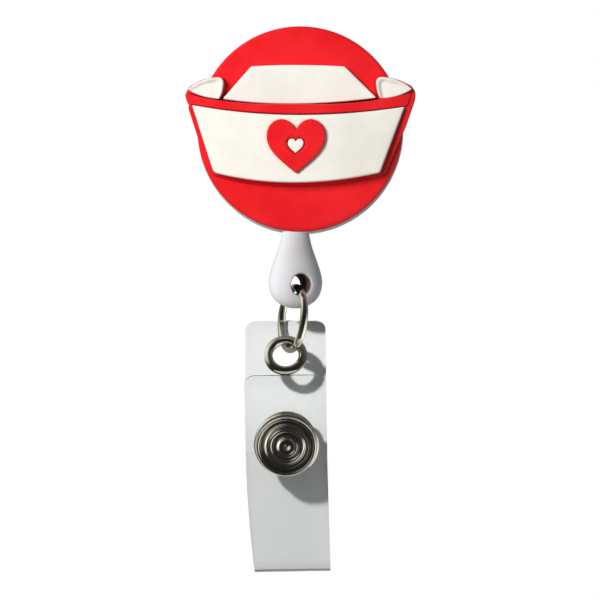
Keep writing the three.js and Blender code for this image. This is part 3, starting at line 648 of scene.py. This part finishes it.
insetLine = heartLine(2.75, -0.6, -2.9)
emblem = reliefPiece(
    "emblem", heartLine(9.1, -0.56, -2.94), redPvc, -9.3, emblemFront,
    edge=0.3, draft=0.06, spacing=0.2, pitch=0.15, soften=2,
)
emblemHeart = reliefPiece(
    "emblemHeart", heartLine(2.45, -0.6, -2.9), whitePvc, -9.6, bulged(cover["panel"] + 0.62),
    edge=0.2, draft=0, spacing=0.25, pitch=0.08, soften=2,
)

for piece in (capSkirt, capBand, panelWall, capPanel, capCrown, emblem, emblemHeart, *capFolds):
    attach(piece, "casing")
coverNodes = {
    "cover_body": coverDisc, "cap_front_panel": capPanel, "cap_crown": capCrown,
    "cap_left_fold": capFolds[0], "cap_right_fold": capFolds[1],
    "emblem": emblem, "emblem_inset": emblemHeart,
}
for node, piece in coverNodes.items():
    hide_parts(node)
print("cover made")


# casing and clip

smoothCopy("front_shell", "frontShell", glossWhite, "casing")
smoothCopy("rear_shell", "rearShell", glossWhite, "casing")
smoothCopy("swivel_rivet", "swivelRivet", nickel, "casing", 40)
smoothCopy("swivel_washer", "swivelWasher", naturalNylon, "clip", 40)
smoothCopy("clip_base", "clipBase", nickel, "clip", 32, 0.09)
smoothCopy("clip_lever", "clipLever", nickel, "clip_lever", 32, 0.09)
smoothCopy("clip_pin", "clipPin", nickel, "clip", 40)
clipSpring = smoothCopy("clip_spring", "clipSpring", blueSteel, None, 60)
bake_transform(clipSpring)  # one leg follows the lever
smoothCopy("spool", "spoolDrum", naturalNylon, "spool", 32)
smoothCopy("power_spring", "powerSpring", blueSteel, "casing", 60)
smoothCopy("adhesive_pad", "adhesivePad", tapeFoam, "casing", 32)
smoothCopy("snap_spring_ring", "snapSpringRing", blueSteel, "flap", 60)
smoothCopy("snap_socket", "snapSocket", nickel, "flap", 36)
smoothCopy("snap_stud", "snapStud", nickel, "strap", 36)
print("casing and clip made")


# cord

cord = {"x": -0.8, "radius": 0.35, "wound": 12.05, "exit": -15.6, "knot": -19.6, "knotSize": 0.95}
outPoint = Vector((cord["x"], cord["exit"]))
reach = math.acos(cord["wound"] / outPoint.length)
turn = math.atan2(outPoint.y, outPoint.x) - reach
leave = Vector((math.cos(turn), math.sin(turn))) * cord["wound"]
inward = [tuple(leave.lerp(outPoint, 0.9 * k / 30)) for k in range(31)]
bendEnd = cord["exit"] - 0.75
knotTop = cord["knot"] + 0.8
bend = bow(inward[-1], (cord["x"] - 0.06, cord["exit"] + 0.12), (cord["x"], bendEnd), 12)
down = [(cord["x"], bendEnd + (knotTop - bendEnd) * k / 200) for k in range(201)]
cordPath = [(x, 0, z) for x, z in inward[:-1] + bend + down]
cordRun = addPiece("cordRun", sweptTube("cordRun", cordPath, cord["radius"], 12), braid, 60)
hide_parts("cord_inner_run", "cord_tail")
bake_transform(cordRun)


def knotSpot(index, count):
    # a small overhand knot, drawn as a closed curve that winds round itself
    t = 2 * math.pi * index / count
    size = cord["knotSize"] * 0.3
    return (
        cord["x"] + size * (math.sin(t) + 2 * math.sin(2 * t)) * 0.62,
        size * -math.sin(3 * t) * 0.8,
        cord["knot"] + size * (math.cos(t) - 2 * math.cos(2 * t)) * 0.62,
    )


knotSteps, knotSides, knotRadius = 90, 10, 0.3
knotLine = [Vector(knotSpot(i, knotSteps)) for i in range(knotSteps)]
total = knotSteps * knotSides
vertices, faces = [], []
for i, spot in enumerate(knotLine):
    ahead = (knotLine[(i + 1) % knotSteps] - knotLine[i - 1]).normalized()
    outward = (spot - Vector((cord["x"], 0, cord["knot"]))).normalized()
    first = ahead.cross(outward).normalized()
    second = ahead.cross(first)
    for k in range(knotSides):
        spin = 2 * math.pi * k / knotSides
        vertices.append(at(*(spot + (first * math.cos(spin) + second * math.sin(spin)) * knotRadius)))
        a, b = i * knotSides + k, i * knotSides + (k + 1) % knotSides
        faces.append((a, b, (b + knotSides) % total, (a + knotSides) % total))
cordKnot = addPiece("cordKnot", meshOf("cordKnot", vertices, faces), braid, 80)
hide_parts("cord_knot")
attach(cordKnot, "cord_tip")


def mathNode(nodeTree, operation, *values, clamp=False):
    node = nodeTree.nodes.new("ShaderNodeMath")
    node.operation = operation
    node.use_clamp = clamp
    for socket, value in zip(node.inputs, values):
        if isinstance(value, (int, float)):
            socket.default_value = value
        else:
            nodeTree.links.new(value, socket)
    return node.outputs[0]


# these two build Geometry Nodes trees
def newTree(name, inputs):
    tree = bpy.data.node_groups.new(name, "GeometryNodeTree")
    tree.interface.new_socket("Geometry", in_out="OUTPUT", socket_type="NodeSocketGeometry")
    for inputName, kind, value in inputs:
        made = tree.interface.new_socket(inputName, in_out="INPUT", socket_type=kind)
        made.default_value = value
    return tree, tree.nodes.new("NodeGroupInput"), tree.nodes.new("NodeGroupOutput")


def grown(name, tree, values, finish, sharp=60):
    # the tree's result as a plain mesh, with its inputs set by their identifiers
    holder = bpy.data.objects.new(name + "Holder", bpy.data.meshes.new(name + "Holder"))
    bpy.context.collection.objects.link(holder)
    growing = holder.modifiers.new("grow", "NODES")
    growing.node_group = tree
    for item in tree.interface.items_tree:
        if item.item_type == "SOCKET" and item.in_out == "INPUT" and item.name in values:
            growing[item.identifier] = values[item.name]
    bpy.context.view_layer.update()
    ready = holder.evaluated_get(bpy.context.evaluated_depsgraph_get())
    mesh = bpy.data.meshes.new_from_object(ready)
    bpy.data.objects.remove(holder)
    return addPiece(name, mesh, finish, sharp)


# the wound cord: layers of turns side by side on the spool
tree, treeIn, treeOut = newTree("woundCord", [
    ("Start radius", "NodeSocketFloat", 0.0088), ("End radius", "NodeSocketFloat", 0.0113),
    ("Turns", "NodeSocketFloat", 12.0), ("Half width", "NodeSocketFloat", 0.0007),
    ("Cord radius", "NodeSocketFloat", 0.00035),
])
line = tree.nodes.new("GeometryNodeMeshLine")
line.mode = "END_POINTS"
woundPoints = 900
line.inputs["Count"].default_value = woundPoints
toCurve = tree.nodes.new("GeometryNodeMeshToCurve")
index = tree.nodes.new("GeometryNodeInputIndex")
treeMath = partial(mathNode, tree)
share = treeMath("DIVIDE", index.outputs[0], woundPoints - 1.0)
spin = treeMath("MULTIPLY", treeMath("MULTIPLY", share, treeIn.outputs["Turns"]), 2 * math.pi)
grow = treeMath("SUBTRACT", treeIn.outputs["End radius"], treeIn.outputs["Start radius"])
radiusNow = treeMath("ADD", treeIn.outputs["Start radius"], treeMath("MULTIPLY", share, grow))
sideways = treeMath("SINE", treeMath("MULTIPLY", spin, 0.37))
sway = treeMath("MULTIPLY", sideways, treeIn.outputs["Half width"])
spot = tree.nodes.new("ShaderNodeCombineXYZ")
tree.links.new(treeMath("MULTIPLY", radiusNow, treeMath("COSINE", spin)), spot.inputs[0])
tree.links.new(sway, spot.inputs[1])
tree.links.new(treeMath("MULTIPLY", radiusNow, treeMath("SINE", spin)), spot.inputs[2])
setPlace = tree.nodes.new("GeometryNodeSetPosition")
shift = tree.nodes.new("GeometryNodeTransform")
shift.inputs["Translation"].default_value = reelCentre
section = tree.nodes.new("GeometryNodeCurvePrimitiveCircle")
section.inputs["Resolution"].default_value = 8
tree.links.new(treeIn.outputs["Cord radius"], section.inputs["Radius"])
toMesh = tree.nodes.new("GeometryNodeCurveToMesh")
toMesh.inputs["Fill Caps"].default_value = True
realize = tree.nodes.new("GeometryNodeRealizeInstances")
paint = tree.nodes.new("GeometryNodeSetMaterial")
paint.inputs["Material"].default_value = braid.material
chain = (
    (line, setPlace, "Geometry"), (spot, setPlace, "Position"), (setPlace, toCurve, 0),
    (toCurve, toMesh, "Curve"), (section, toMesh, "Profile Curve"), (toMesh, shift, "Geometry"),
    (shift, realize, 0), (realize, paint, "Geometry"), (paint, treeOut, 0),
)
for source, target, socket in chain:
    tree.links.new(source.outputs[0], target.inputs[socket])
cordWound = grown("cordWound", tree, {"Turns": 12.0}, braid)
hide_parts("cord_winding")
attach(cordWound, "spool")
print("cord made")


# end drop and ring

drop = {
    "top": -15.75, "bottom": -27.95, "half": 4.4, "flatten": 0.65, "turn": 22,
    "hole": -24.2, "holeRadius": 1.6,
}


def inDrop(x, y, z):
    # a point in the drop's own turned frame
    turned = Vector((x, y, 0))
    turned.rotate(Euler((0, 0, math.radians(drop["turn"]))))
    return at(cord["x"] + turned.x, turned.y, z)


def dropSpot(radius, spinAngle, height):
    return inDrop(radius * math.cos(spinAngle), radius * math.sin(spinAngle) * drop["flatten"], height)


b, w, t = drop["bottom"], drop["half"], drop["top"]
dropKeys = [
    (0, b), (0.24 * w, b + 0.12), (0.46 * w, b + 0.44), (0.66 * w, b + 0.93), (0.82 * w, b + 1.6),
    (0.93 * w, b + 2.45), (0.99 * w, b + 3.5), (w, b + 4.2), (0.975 * w, b + 5.1), (0.91 * w, b + 6.2),
    (0.82 * w, b + 7.3), (0.73 * w, b + 8.4), (0.64 * w, b + 9.5), (0.57 * w, b + 10.6),
    (0.525 * w, t - 0.7), (0.51 * w, t - 0.35), (0.48 * w, t - 0.1), (0.43 * w, t), (0, t),
]
dropProfile = []
for i in range(len(dropKeys) - 1):
    p0, p1, p2, p3 = (Vector(dropKeys[min(len(dropKeys) - 1, max(0, i + k))]) for k in (-1, 0, 1, 2))
    for s in (0, 1 / 3, 2 / 3):
        straight = 2 * p1 + (p2 - p0) * s
        bent = (2 * p0 - 5 * p1 + 4 * p2 - p3) * s ** 2
        spotNow = 0.5 * (straight + bent + (3 * p1 - p0 - 3 * p2 + p3) * s ** 3)
        dropProfile.append((max(0.0, spotNow.x) if i or s else 0, spotNow.y))
dropProfile.append((0, t))


def turnedObject(name, profile, sides, toPlace):
    made = bpy.data.objects.new(name, turnedMesh(name, profile, sides, toPlace))
    bpy.context.collection.objects.link(made)
    return made


def across(z):
    # round an axis that crosses the drop at height z, front to back
    return lambda radius, spinAngle, along: inDrop(
        radius * math.cos(spinAngle), along, z + radius * math.sin(spinAngle),
    )


def upright(radius, spinAngle, height):
    return at(cord["x"] + radius * math.cos(spinAngle), radius * math.sin(spinAngle), height)


r = drop["holeRadius"]
flareHalf = [(r, 1.7), (r + 0.08, 2.3), (r + 0.32, 2.7), (r + 0.75, 3.1), (r + 1.6, 4.2), (0, 4.2)]
flare = [(radius, -along) for radius, along in reversed(flareHalf)] + flareHalf
knotPocket = [(0, -1.1), (1.3, -1.1), (1.3, 5), (0, 5)]
cordBore = [(0, -19.4), (0.55, -19.4), (0.55, -15), (0, -15)]
holeCutter = turnedObject("holeCutter", flare, 64, across(drop["hole"]))
knotCutter = turnedObject("knotCutter", knotPocket, 40, across(cord["knot"]))
boreCutter = turnedObject("boreCutter", cordBore, 24, upright)
dropWhite = moulded("dropWhite", "white_plastic", (0.74, 0.74, 0.765, 1), (0.79, 0.79, 0.81, 1), 0.4)
# painted shade: the wall of the hole through the drop is darkened to dark brown, standing for the shade
# inside it
holeAxis = Vector((-math.sin(math.radians(drop["turn"])), math.cos(math.radians(drop["turn"])), 0))
fromHole = dropWhite.vectors("SUBTRACT", dropWhite.place, at(cord["x"], 0, drop["hole"]))
alongHole = dropWhite.vectors("DOT_PRODUCT", fromHole, holeAxis, "Value")
squared = dropWhite.vectors("DOT_PRODUCT", fromHole, fromHole, "Value")
acrossHole = (squared - alongHole ** 2) ** 0.5
holeShadeDepth = dropWhite.between(0.0029, 0.0021, alongHole.combine("ABSOLUTE", alongHole, 0))
holeShadeMask = holeShadeDepth * dropWhite.between(0.00195, 0.00165, acrossHole)  # painted shade inside the hole: 1 on the hole's wall, 0 outside
shellTint = dropWhite.mixed(dropWhite.noise(160, 2), (0.74, 0.74, 0.765, 1), (0.79, 0.79, 0.81, 1))
dropWhite.set("Base Color", dropWhite.mixed(holeShadeMask, shellTint, (0.1, 0.055, 0.045, 1)))
dropWhite.set("Specular IOR Level", 0.3)
dropWhite.set("Roughness", holeShadeMask * 0.5 + 0.4)
dropWhite.set("Coat Weight", 0.2 - holeShadeMask * 0.2)
dropWhite.set("Subsurface Weight", 0.5)
dropWhite.set("Subsurface Radius", (1, 1, 1))
dropWhite.set("Subsurface Scale", 0.0025)
dropBlank = turnedObject("dropBlank", dropProfile, 120, dropSpot)
carvedDrop = carved(dropBlank, [holeCutter, knotCutter, boreCutter])
cordEndDrop = addPiece("cordEndDrop", carvedDrop, dropWhite, 42)
bpy.data.objects.remove(dropBlank)
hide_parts("cord_end_drop")
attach(cordEndDrop, "cord_end")

ring = {"radius": 4.9, "wire": 0.62, "tilt": 5.5, "turn": 22, "top": -24.65}
ringTurn = Euler((0, math.radians(ring["tilt"]), math.radians(ring["turn"])), "XYZ").to_matrix()


def ringSpot(radius, spinAngle, height):
    below = radius * math.sin(spinAngle) - ring["radius"]
    spotNow = ringTurn @ Vector((height, radius * math.cos(spinAngle), below))
    return at(cord["x"] + spotNow.x, spotNow.y, ring["top"] + spotNow.z)


wireProfile = circleLine(ring["radius"], 0, ring["wire"], 28)
wireRing = addPiece("wireRing", turnedMesh("wireRing", wireProfile, 128, ringSpot), nickel, 80)
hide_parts("wire_ring")
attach(wireRing, "ring")
print("drop and ring made")


# strap

strap = {
    "width": 12.7, "thick": 0.45, "corner": 1.6, "top": 6.1, "straight": 3.4, "lean": 40, "bend": 8,
    "bottom": -33.6, "sway": 0.6, "twist": 0.06, "fold": 1.52, "flapTop": -1.45,
    "pitch": 12, "turn": 0, "roll": -0.85, "place": (-2.35, -0.9624, -35.3549),
}
strapTurn = Euler([math.radians(strap[k]) for k in ("pitch", "roll", "turn")], "XYZ").to_matrix()


def strapSpot(x, y, z):
    spotNow = strapTurn @ Vector((x, y, z)) + Vector(strap["place"])
    return at(*spotNow)


lean = math.radians(strap["lean"])
kneeY, kneeZ = -strap["straight"] * math.sin(lean), -strap["straight"] * math.cos(lean)
leafY = kneeY - strap["bend"] * (1 - math.cos(lean))
leafTopZ = kneeZ - strap["bend"] * math.sin(lean)
foldZ = strap["bottom"] + strap["fold"]
flapY = leafY - 2 * strap["fold"]
topLength = strap["top"] + strap["straight"]
bendLength = strap["bend"] * lean
backLength = leafTopZ - foldZ
foldLength = math.pi * strap["fold"]
flapLength = strap["flapTop"] - foldZ
stripLength = topLength + bendLength + backLength + foldLength + flapLength


def stripLine(s):
    # the strip's middle line in the strap's own frame: depth, height and the way it faces
    if s < topLength:
        back = strap["top"] - s
        return back * math.sin(lean), back * math.cos(lean), lean
    s -= topLength
    if s < bendLength:
        a = lean - s / strap["bend"]
        return leafY + strap["bend"] * (1 - math.cos(a)), leafTopZ + strap["bend"] * math.sin(a), a
    s -= bendLength
    if s < backLength:
        return leafY, leafTopZ - s, 0.0
    s -= backLength
    if s < foldLength:
        a = s / strap["fold"]
        return leafY - strap["fold"] * (1 - math.cos(a)), foldZ - strap["fold"] * math.sin(a), -a
    s -= foldLength
    return flapY, foldZ + s, -math.pi


snapZ = -12.75
snapBack = topLength + bendLength + leafTopZ - snapZ
snapFront = topLength + bendLength + backLength + foldLength + snapZ - foldZ


half, corner = strap["width"] / 2, strap["corner"]
farX, farS = half - corner, stripLength - corner
stripOutline = []
for cx, cs, start in ((farX, corner, -90), (farX, farS, 0), (-farX, farS, 90), (-farX, corner, 180)):
    for k in range(11):
        a = math.radians(start + 90 * k / 10)
        stripOutline.append((cx + corner * math.cos(a), cs + corner * math.sin(a)))
stripOutline = evenly(stripOutline, 0.45)
stripHoles = ((strap["top"], 2.6), (snapBack, 1.75), (snapFront, 1.75))  # place along the strip and radius


def clearOfHoles(x, s, margin):
    return all(math.dist((x, s), (0, place)) > radius + margin for place, radius in stripHoles)


points = list(stripOutline)
edges = [(i, (i + 1) % len(points)) for i in range(len(points))]
for place, radius in stripHoles:
    start = len(points)
    hole = circleLine(0, place, radius)
    points += hole
    edges += [(start + i, start + (i + 1) % len(hole)) for i in range(len(hole))]
rowsDown = int(stripLength / 0.5)
inset = pushedOut(stripOutline, -0.2)
for i in range(1, rowsDown):
    for k in range(-12, 13):
        x, s = k * 0.5, i * stripLength / rowsDown
        if abs(x) < half - 0.2 and insideOf(inset, x, s) and clearOfHoles(x, s, 0.2):
            points.append((x, s))
filled = delaunay_2d_cdt([Vector(p) for p in points], edges, [], 1, 1e-7)
flatFaces = []
for face in filled[2]:
    middle = sum((filled[0][i] for i in face), Vector((0, 0))) / len(face)
    if clearOfHoles(middle.x, middle.y, -0.01):
        flatFaces.append(face)


def stripSpot(x, s, outward):
    y, z, facing = stripLine(s)
    # a used strip isn't quite flat: it waves a little, away from its eyelet and stud
    loose = smoothStep(4, 8, s)
    for place in (snapBack, snapFront):
        loose *= smoothStep(2.5, 7, abs(s - place))
    shiftOut = outward + 0.12 * noise.noise(Vector((x * 0.12, s * 0.075, 3.1))) * loose
    below = max(0, (z - snapZ + 3) / (strap["bottom"] - snapZ + 3))
    narrowed = x * (1 - strap["twist"] * below ** 2) + strap["sway"] * below ** 1.6
    return strapSpot(narrowed, y - math.cos(facing) * shiftOut, z + math.sin(facing) * shiftOut)


stripMesh = bmesh.new()
layers = []
for outward in (strap["thick"] / 2, -strap["thick"] / 2):
    layers.append([stripMesh.verts.new(stripSpot(p.x, p.y, outward)) for p in filled[0]])
border = {}
for face in flatFaces:
    stripMesh.faces.new([layers[0][i] for i in face])
    stripMesh.faces.new([layers[1][i] for i in reversed(face)])
    for a, b in zip(face, list(face[1:]) + [face[0]]):
        key = (min(a, b), max(a, b))
        border[key] = None if key in border else (a, b)
for pair in border.values():
    if pair:
        a, b = pair
        stripMesh.faces.new((layers[0][b], layers[0][a], layers[1][a], layers[1][b]))
bmesh.ops.delete(stripMesh, geom=[v for v in stripMesh.verts if not v.link_faces], context="VERTS")
bmesh.ops.recalc_face_normals(stripMesh, faces=stripMesh.faces)
if stripMesh.calc_volume(signed=True) < 0:  # clear vinyl needs faces that look outward
    bmesh.ops.reverse_faces(stripMesh, faces=stripMesh.faces)
mesh = bpy.data.meshes.new("vinylStrap")
stripMesh.to_mesh(mesh)
stripMesh.free()
vinylStrap = addPiece("vinylStrap", mesh, vinyl, 50)
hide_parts("strap_back_leaf", "strap_fold", "strap_flap")
backSpot = strapSpot(0, leafY - strap["thick"], foldZ)
frontSpot = strapSpot(0, flapY + strap["thick"], foldZ)
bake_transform(vinylStrap)
vinylStrap.visible_shadow = False

eyeletShape = {"hole": 2.05, "flange": 3.4}
eyeletTurn = strapTurn @ Euler((-lean, 0, 0)).to_matrix()


def eyeletSpot(radius, spinAngle, height):
    spotNow = eyeletTurn @ Vector((radius * math.cos(spinAngle), height, radius * math.sin(spinAngle)))
    return at(*(spotNow + Vector(strap["place"])))


hole, flange = eyeletShape["hole"], eyeletShape["flange"]
sheetHalf = strap["thick"] / 2 + 0.01
frontRoll = [
    (hole, 0), (hole + 0.01, -0.3), (hole + 0.07, -0.47), (hole + 0.2, -0.6), (hole + 0.4, -0.68),
    (hole + 0.62, -0.68), (hole + 0.88, -0.62), (flange - 0.28, -0.5), (flange - 0.1, -0.4),
    (flange, -sheetHalf - 0.07), (flange - 0.03, -sheetHalf), (hole + 0.52, -sheetHalf),
]
eyeletProfile = frontRoll + [(radius, -height) for radius, height in reversed(frontRoll[1:])]
eyelet = addPiece("eyeletRing", turnedMesh("eyeletRing", eyeletProfile, 96, eyeletSpot), nickel, 50)
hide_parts("eyelet")
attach(eyelet, "strap")


def flapSpot(radius, spinAngle, height):
    return strapSpot(radius * math.cos(spinAngle), flapY + height, snapZ + radius * math.sin(spinAngle))


def leafSpot(radius, spinAngle, height):
    return strapSpot(radius * math.cos(spinAngle), leafY + height, snapZ + radius * math.sin(spinAngle))


# from the pip in the middle, over the rings, to the rim and round to the back
capProfile = rounded([
    (0, -1.0), (0.16, -0.98, 0.08), (0.34, -0.72, 0.12), (0.75, -0.58, 0.15), (1.15, -0.6, 0.12),
    (1.5, -0.9, 0.12), (1.68, -0.88, 0.08), (2.0, -0.46, 0.16), (2.42, -0.88, 0.14), (2.62, -0.88, 0.12),
    (3.05, -0.5, 0.16), (3.4, -0.74, 0.06), (3.5, -0.74, 0.05), (3.72, -0.34, 0.14), (4.02, -0.34, 0.08),
    (4.24, -0.98, 0.14), (4.52, -1.06, 0.14), (4.72, -0.75, 0.14), (4.7, -sheetHalf, 0.05),
    (1.65, -sheetHalf), (1.65, 0.7), (0, 0.7),
], 5)
snapCap = addPiece("snapCap", turnedMesh("snapCap", capProfile, 128, flapSpot), nickel, 50)
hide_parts("snap_cap")
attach(snapCap, "flap")

postProfile = rounded([
    (0, -0.8), (1.63, -0.8, 0.15), (1.63, sheetHalf), (4.6, sheetHalf), (4.72, sheetHalf + 0.25, 0.15),
    (4.3, sheetHalf + 0.6, 0.3), (2.9, sheetHalf + 0.78, 0.4), (2.6, sheetHalf + 0.62, 0.2),
    (1.2, sheetHalf + 0.7, 0.3), (0, sheetHalf + 0.66),
], 5)
snapPost = addPiece("snapPost", turnedMesh("snapPost", postProfile, 96, leafSpot), nickel, 50)
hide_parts("snap_post")
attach(snapPost, "strap")
print("strap made")


# floor, sky and lights

studio = {
    "floor": -1.15, "floorHalf": 3, "sky": 1.0, "ambient": 0.13, "dark": 0.02, "through": 0.7,
    "table": 0.36, "window": 1.15,
}


def hideFrom(thing, *rays):
    for kind in rays:
        setattr(thing, "visible_" + kind, False)


corners = ((-1, -1), (1, -1), (1, 1), (-1, 1))
floorCorners = [(x * studio["floorHalf"], y * studio["floorHalf"], studio["floor"]) for x, y in corners]
floorMesh = meshOf("floor", floorCorners, [(0, 1, 2, 3)], False)
floorFinish = Finish("paleFloor", "white_plastic", Roughness=0.8)
floorTint = floorFinish.mixed(floorFinish.noise(3, 2), (0.8, 0.8, 0.8, 1), (0.86, 0.86, 0.86, 1))
floorFinish.set("Base Color", floorTint)
floor = bpy.data.objects.new("floor", floorMesh)
bpy.context.collection.objects.link(floor)
floorMesh.materials.append(floorFinish.material)
hideFrom(floor, "glossy", "transmission")

world = bpy.data.worlds.new("studio")
bpy.context.scene.world = world
world.use_nodes = True
sky = world.node_tree
sky.nodes.clear()
skyOut = sky.nodes.new("ShaderNodeOutputWorld")
rays = sky.nodes.new("ShaderNodeLightPath")
plain = sky.nodes.new("ShaderNodeBackground")
plain.inputs[0].default_value = (1, 1, 1, 1)
shaded = sky.nodes.new("ShaderNodeBackground")
direction = sky.nodes.new("ShaderNodeTexCoord")
split = sky.nodes.new("ShaderNodeSeparateXYZ")
sky.links.new(direction.outputs["Generated"], split.inputs[0])
skyMath = partial(mathNode, sky)


def chosen(ray, value, otherwise):
    return skyMath("MULTIPLY_ADD", rays.outputs[ray], skyMath("SUBTRACT", value, otherwise), otherwise)


# what the shiny parts mirror: a pale table behind, bright windows up on the left and down on the right,
# and a dark room in front
table = skyMath("POWER", skyMath("MULTIPLY_ADD", split.outputs[1], 0.5, 0.5, clamp=True), 1.6)
window = skyMath("MULTIPLY_ADD", split.outputs[0], -2.6, skyMath("MULTIPLY", split.outputs[2], 2.2))
window = skyMath("SUBTRACT", skyMath("ABSOLUTE", skyMath("SUBTRACT", window, 0.25)), 2.2)
window = skyMath("MULTIPLY", skyMath("MAXIMUM", window, 0), studio["window"])
mirrored = skyMath("MAXIMUM", skyMath("MULTIPLY", table, studio["table"]), window)
mirrored = skyMath("ADD", mirrored, studio["dark"])
room = chosen("Is Diffuse Ray", studio["ambient"], mirrored)
room = chosen("Is Transmission Ray", studio["through"], room)
sky.links.new(room, shaded.inputs[0])
shaded.inputs[1].default_value = studio["sky"]
either = sky.nodes.new("ShaderNodeMixShader")
for i, source in enumerate((rays.outputs["Is Camera Ray"], shaded.outputs[0], plain.outputs[0])):
    sky.links.new(source, either.inputs[i])
sky.links.new(either.outputs[0], skyOut.inputs[0])

warm = (1, 0.98, 0.945)
lamps = {
    "keyLight": {"place": (-0.42, -0.6, 0.22), "size": 0.28, "power": 6.4, "colour": warm},
    "paperLight": {"place": (-0.35, -0.47, 0.36), "size": 0.05, "power": 8.5, "colour": warm},
    "fillLight": {"place": (0.3, -0.6, -0.05), "size": 0.4, "power": 0.2, "colour": (1, 1, 1)},
    "dropLight": {"place": (-0.42, -0.5, 0.12), "size": 0.2, "power": 4.7, "colour": (1, 1, 1)},
}
middle = at(0, 0, -25)


def addLight(name, place, size, power, colour):
    light = bpy.data.lights.new(name, "AREA")
    light.shape = "RECTANGLE"
    light.size = light.size_y = size
    light.energy = power
    light.color = colour
    lamp = bpy.data.objects.new(name, light)
    bpy.context.collection.objects.link(lamp)
    lamp.location = middle + Vector(place)
    lamp.rotation_mode = "QUATERNION"
    lamp.rotation_quaternion = (-Vector(place)).to_track_quat("-Z", "Y")
    hideFrom(lamp, "glossy", "transmission")
    return lamp


keyLight, paperLight, fillLight, dropLight = (addLight(name, **lamp) for name, lamp in lamps.items())

# A curved sheet of paper behind the strap. Only the clear vinyl shows it, with the shadows that fall on it.
paper = {"top": -29, "bottom": -72, "half": 16, "steps": 24}
paperRows = []
for k in range(paper["steps"] + 1):
    z = paper["top"] + (paper["bottom"] - paper["top"]) * k / paper["steps"]
    y = -1.0 + 0.15 * (-47.6 - z) + 9 * smoothStep(-52, -26, z)
    paperRows += [at(x, y, z) for x in (-paper["half"], paper["half"])]
paperFaces = [(2 * k, 2 * k + 1, 2 * k + 3, 2 * k + 2) for k in range(paper["steps"])]
paperMesh = meshOf("paper", paperRows, paperFaces, False)
paperFinish = Finish("greyPaper", "white_plastic", Roughness=0.9)
paperTint = paperFinish.mixed(paperFinish.noise(90, 2), (0.488, 0.502, 0.525, 1), (0.527, 0.54, 0.56, 1))
paperFinish.set("Base Color", paperTint)
paperMesh.materials.append(paperFinish.material)
paperSheet = bpy.data.objects.new("paper", paperMesh)
bpy.context.collection.objects.link(paperSheet)
hideFrom(paperSheet, "camera", "glossy", "diffuse", "shadow")


def listed(name, *objects):
    made = bpy.data.collections.new(name)
    for each in objects:
        made.objects.link(each)
    return made


# the cover would shade the drop, so the drop has a lamp of its own that the cover doesn't block
dropLight.light_linking.receiver_collection = listed("dropOnly", cordEndDrop)
dropLight.light_linking.blocker_collection = dropLight.light_linking.receiver_collection
paperLight.light_linking.receiver_collection = listed("paperOnly", paperSheet)  # for crisp shadows on it
othersLit = listed("othersLit", cordEndDrop, paperSheet)  # key and fill light all but these
for member in othersLit.collection_objects:
    member.light_linking.link_state = "EXCLUDE"
for lamp in (keyLight, fillLight):
    lamp.light_linking.receiver_collection = othersLit
scene = bpy.context.scene
scene.view_settings.view_transform = "Standard"
scene.view_settings.look = "None"
print("studio made")
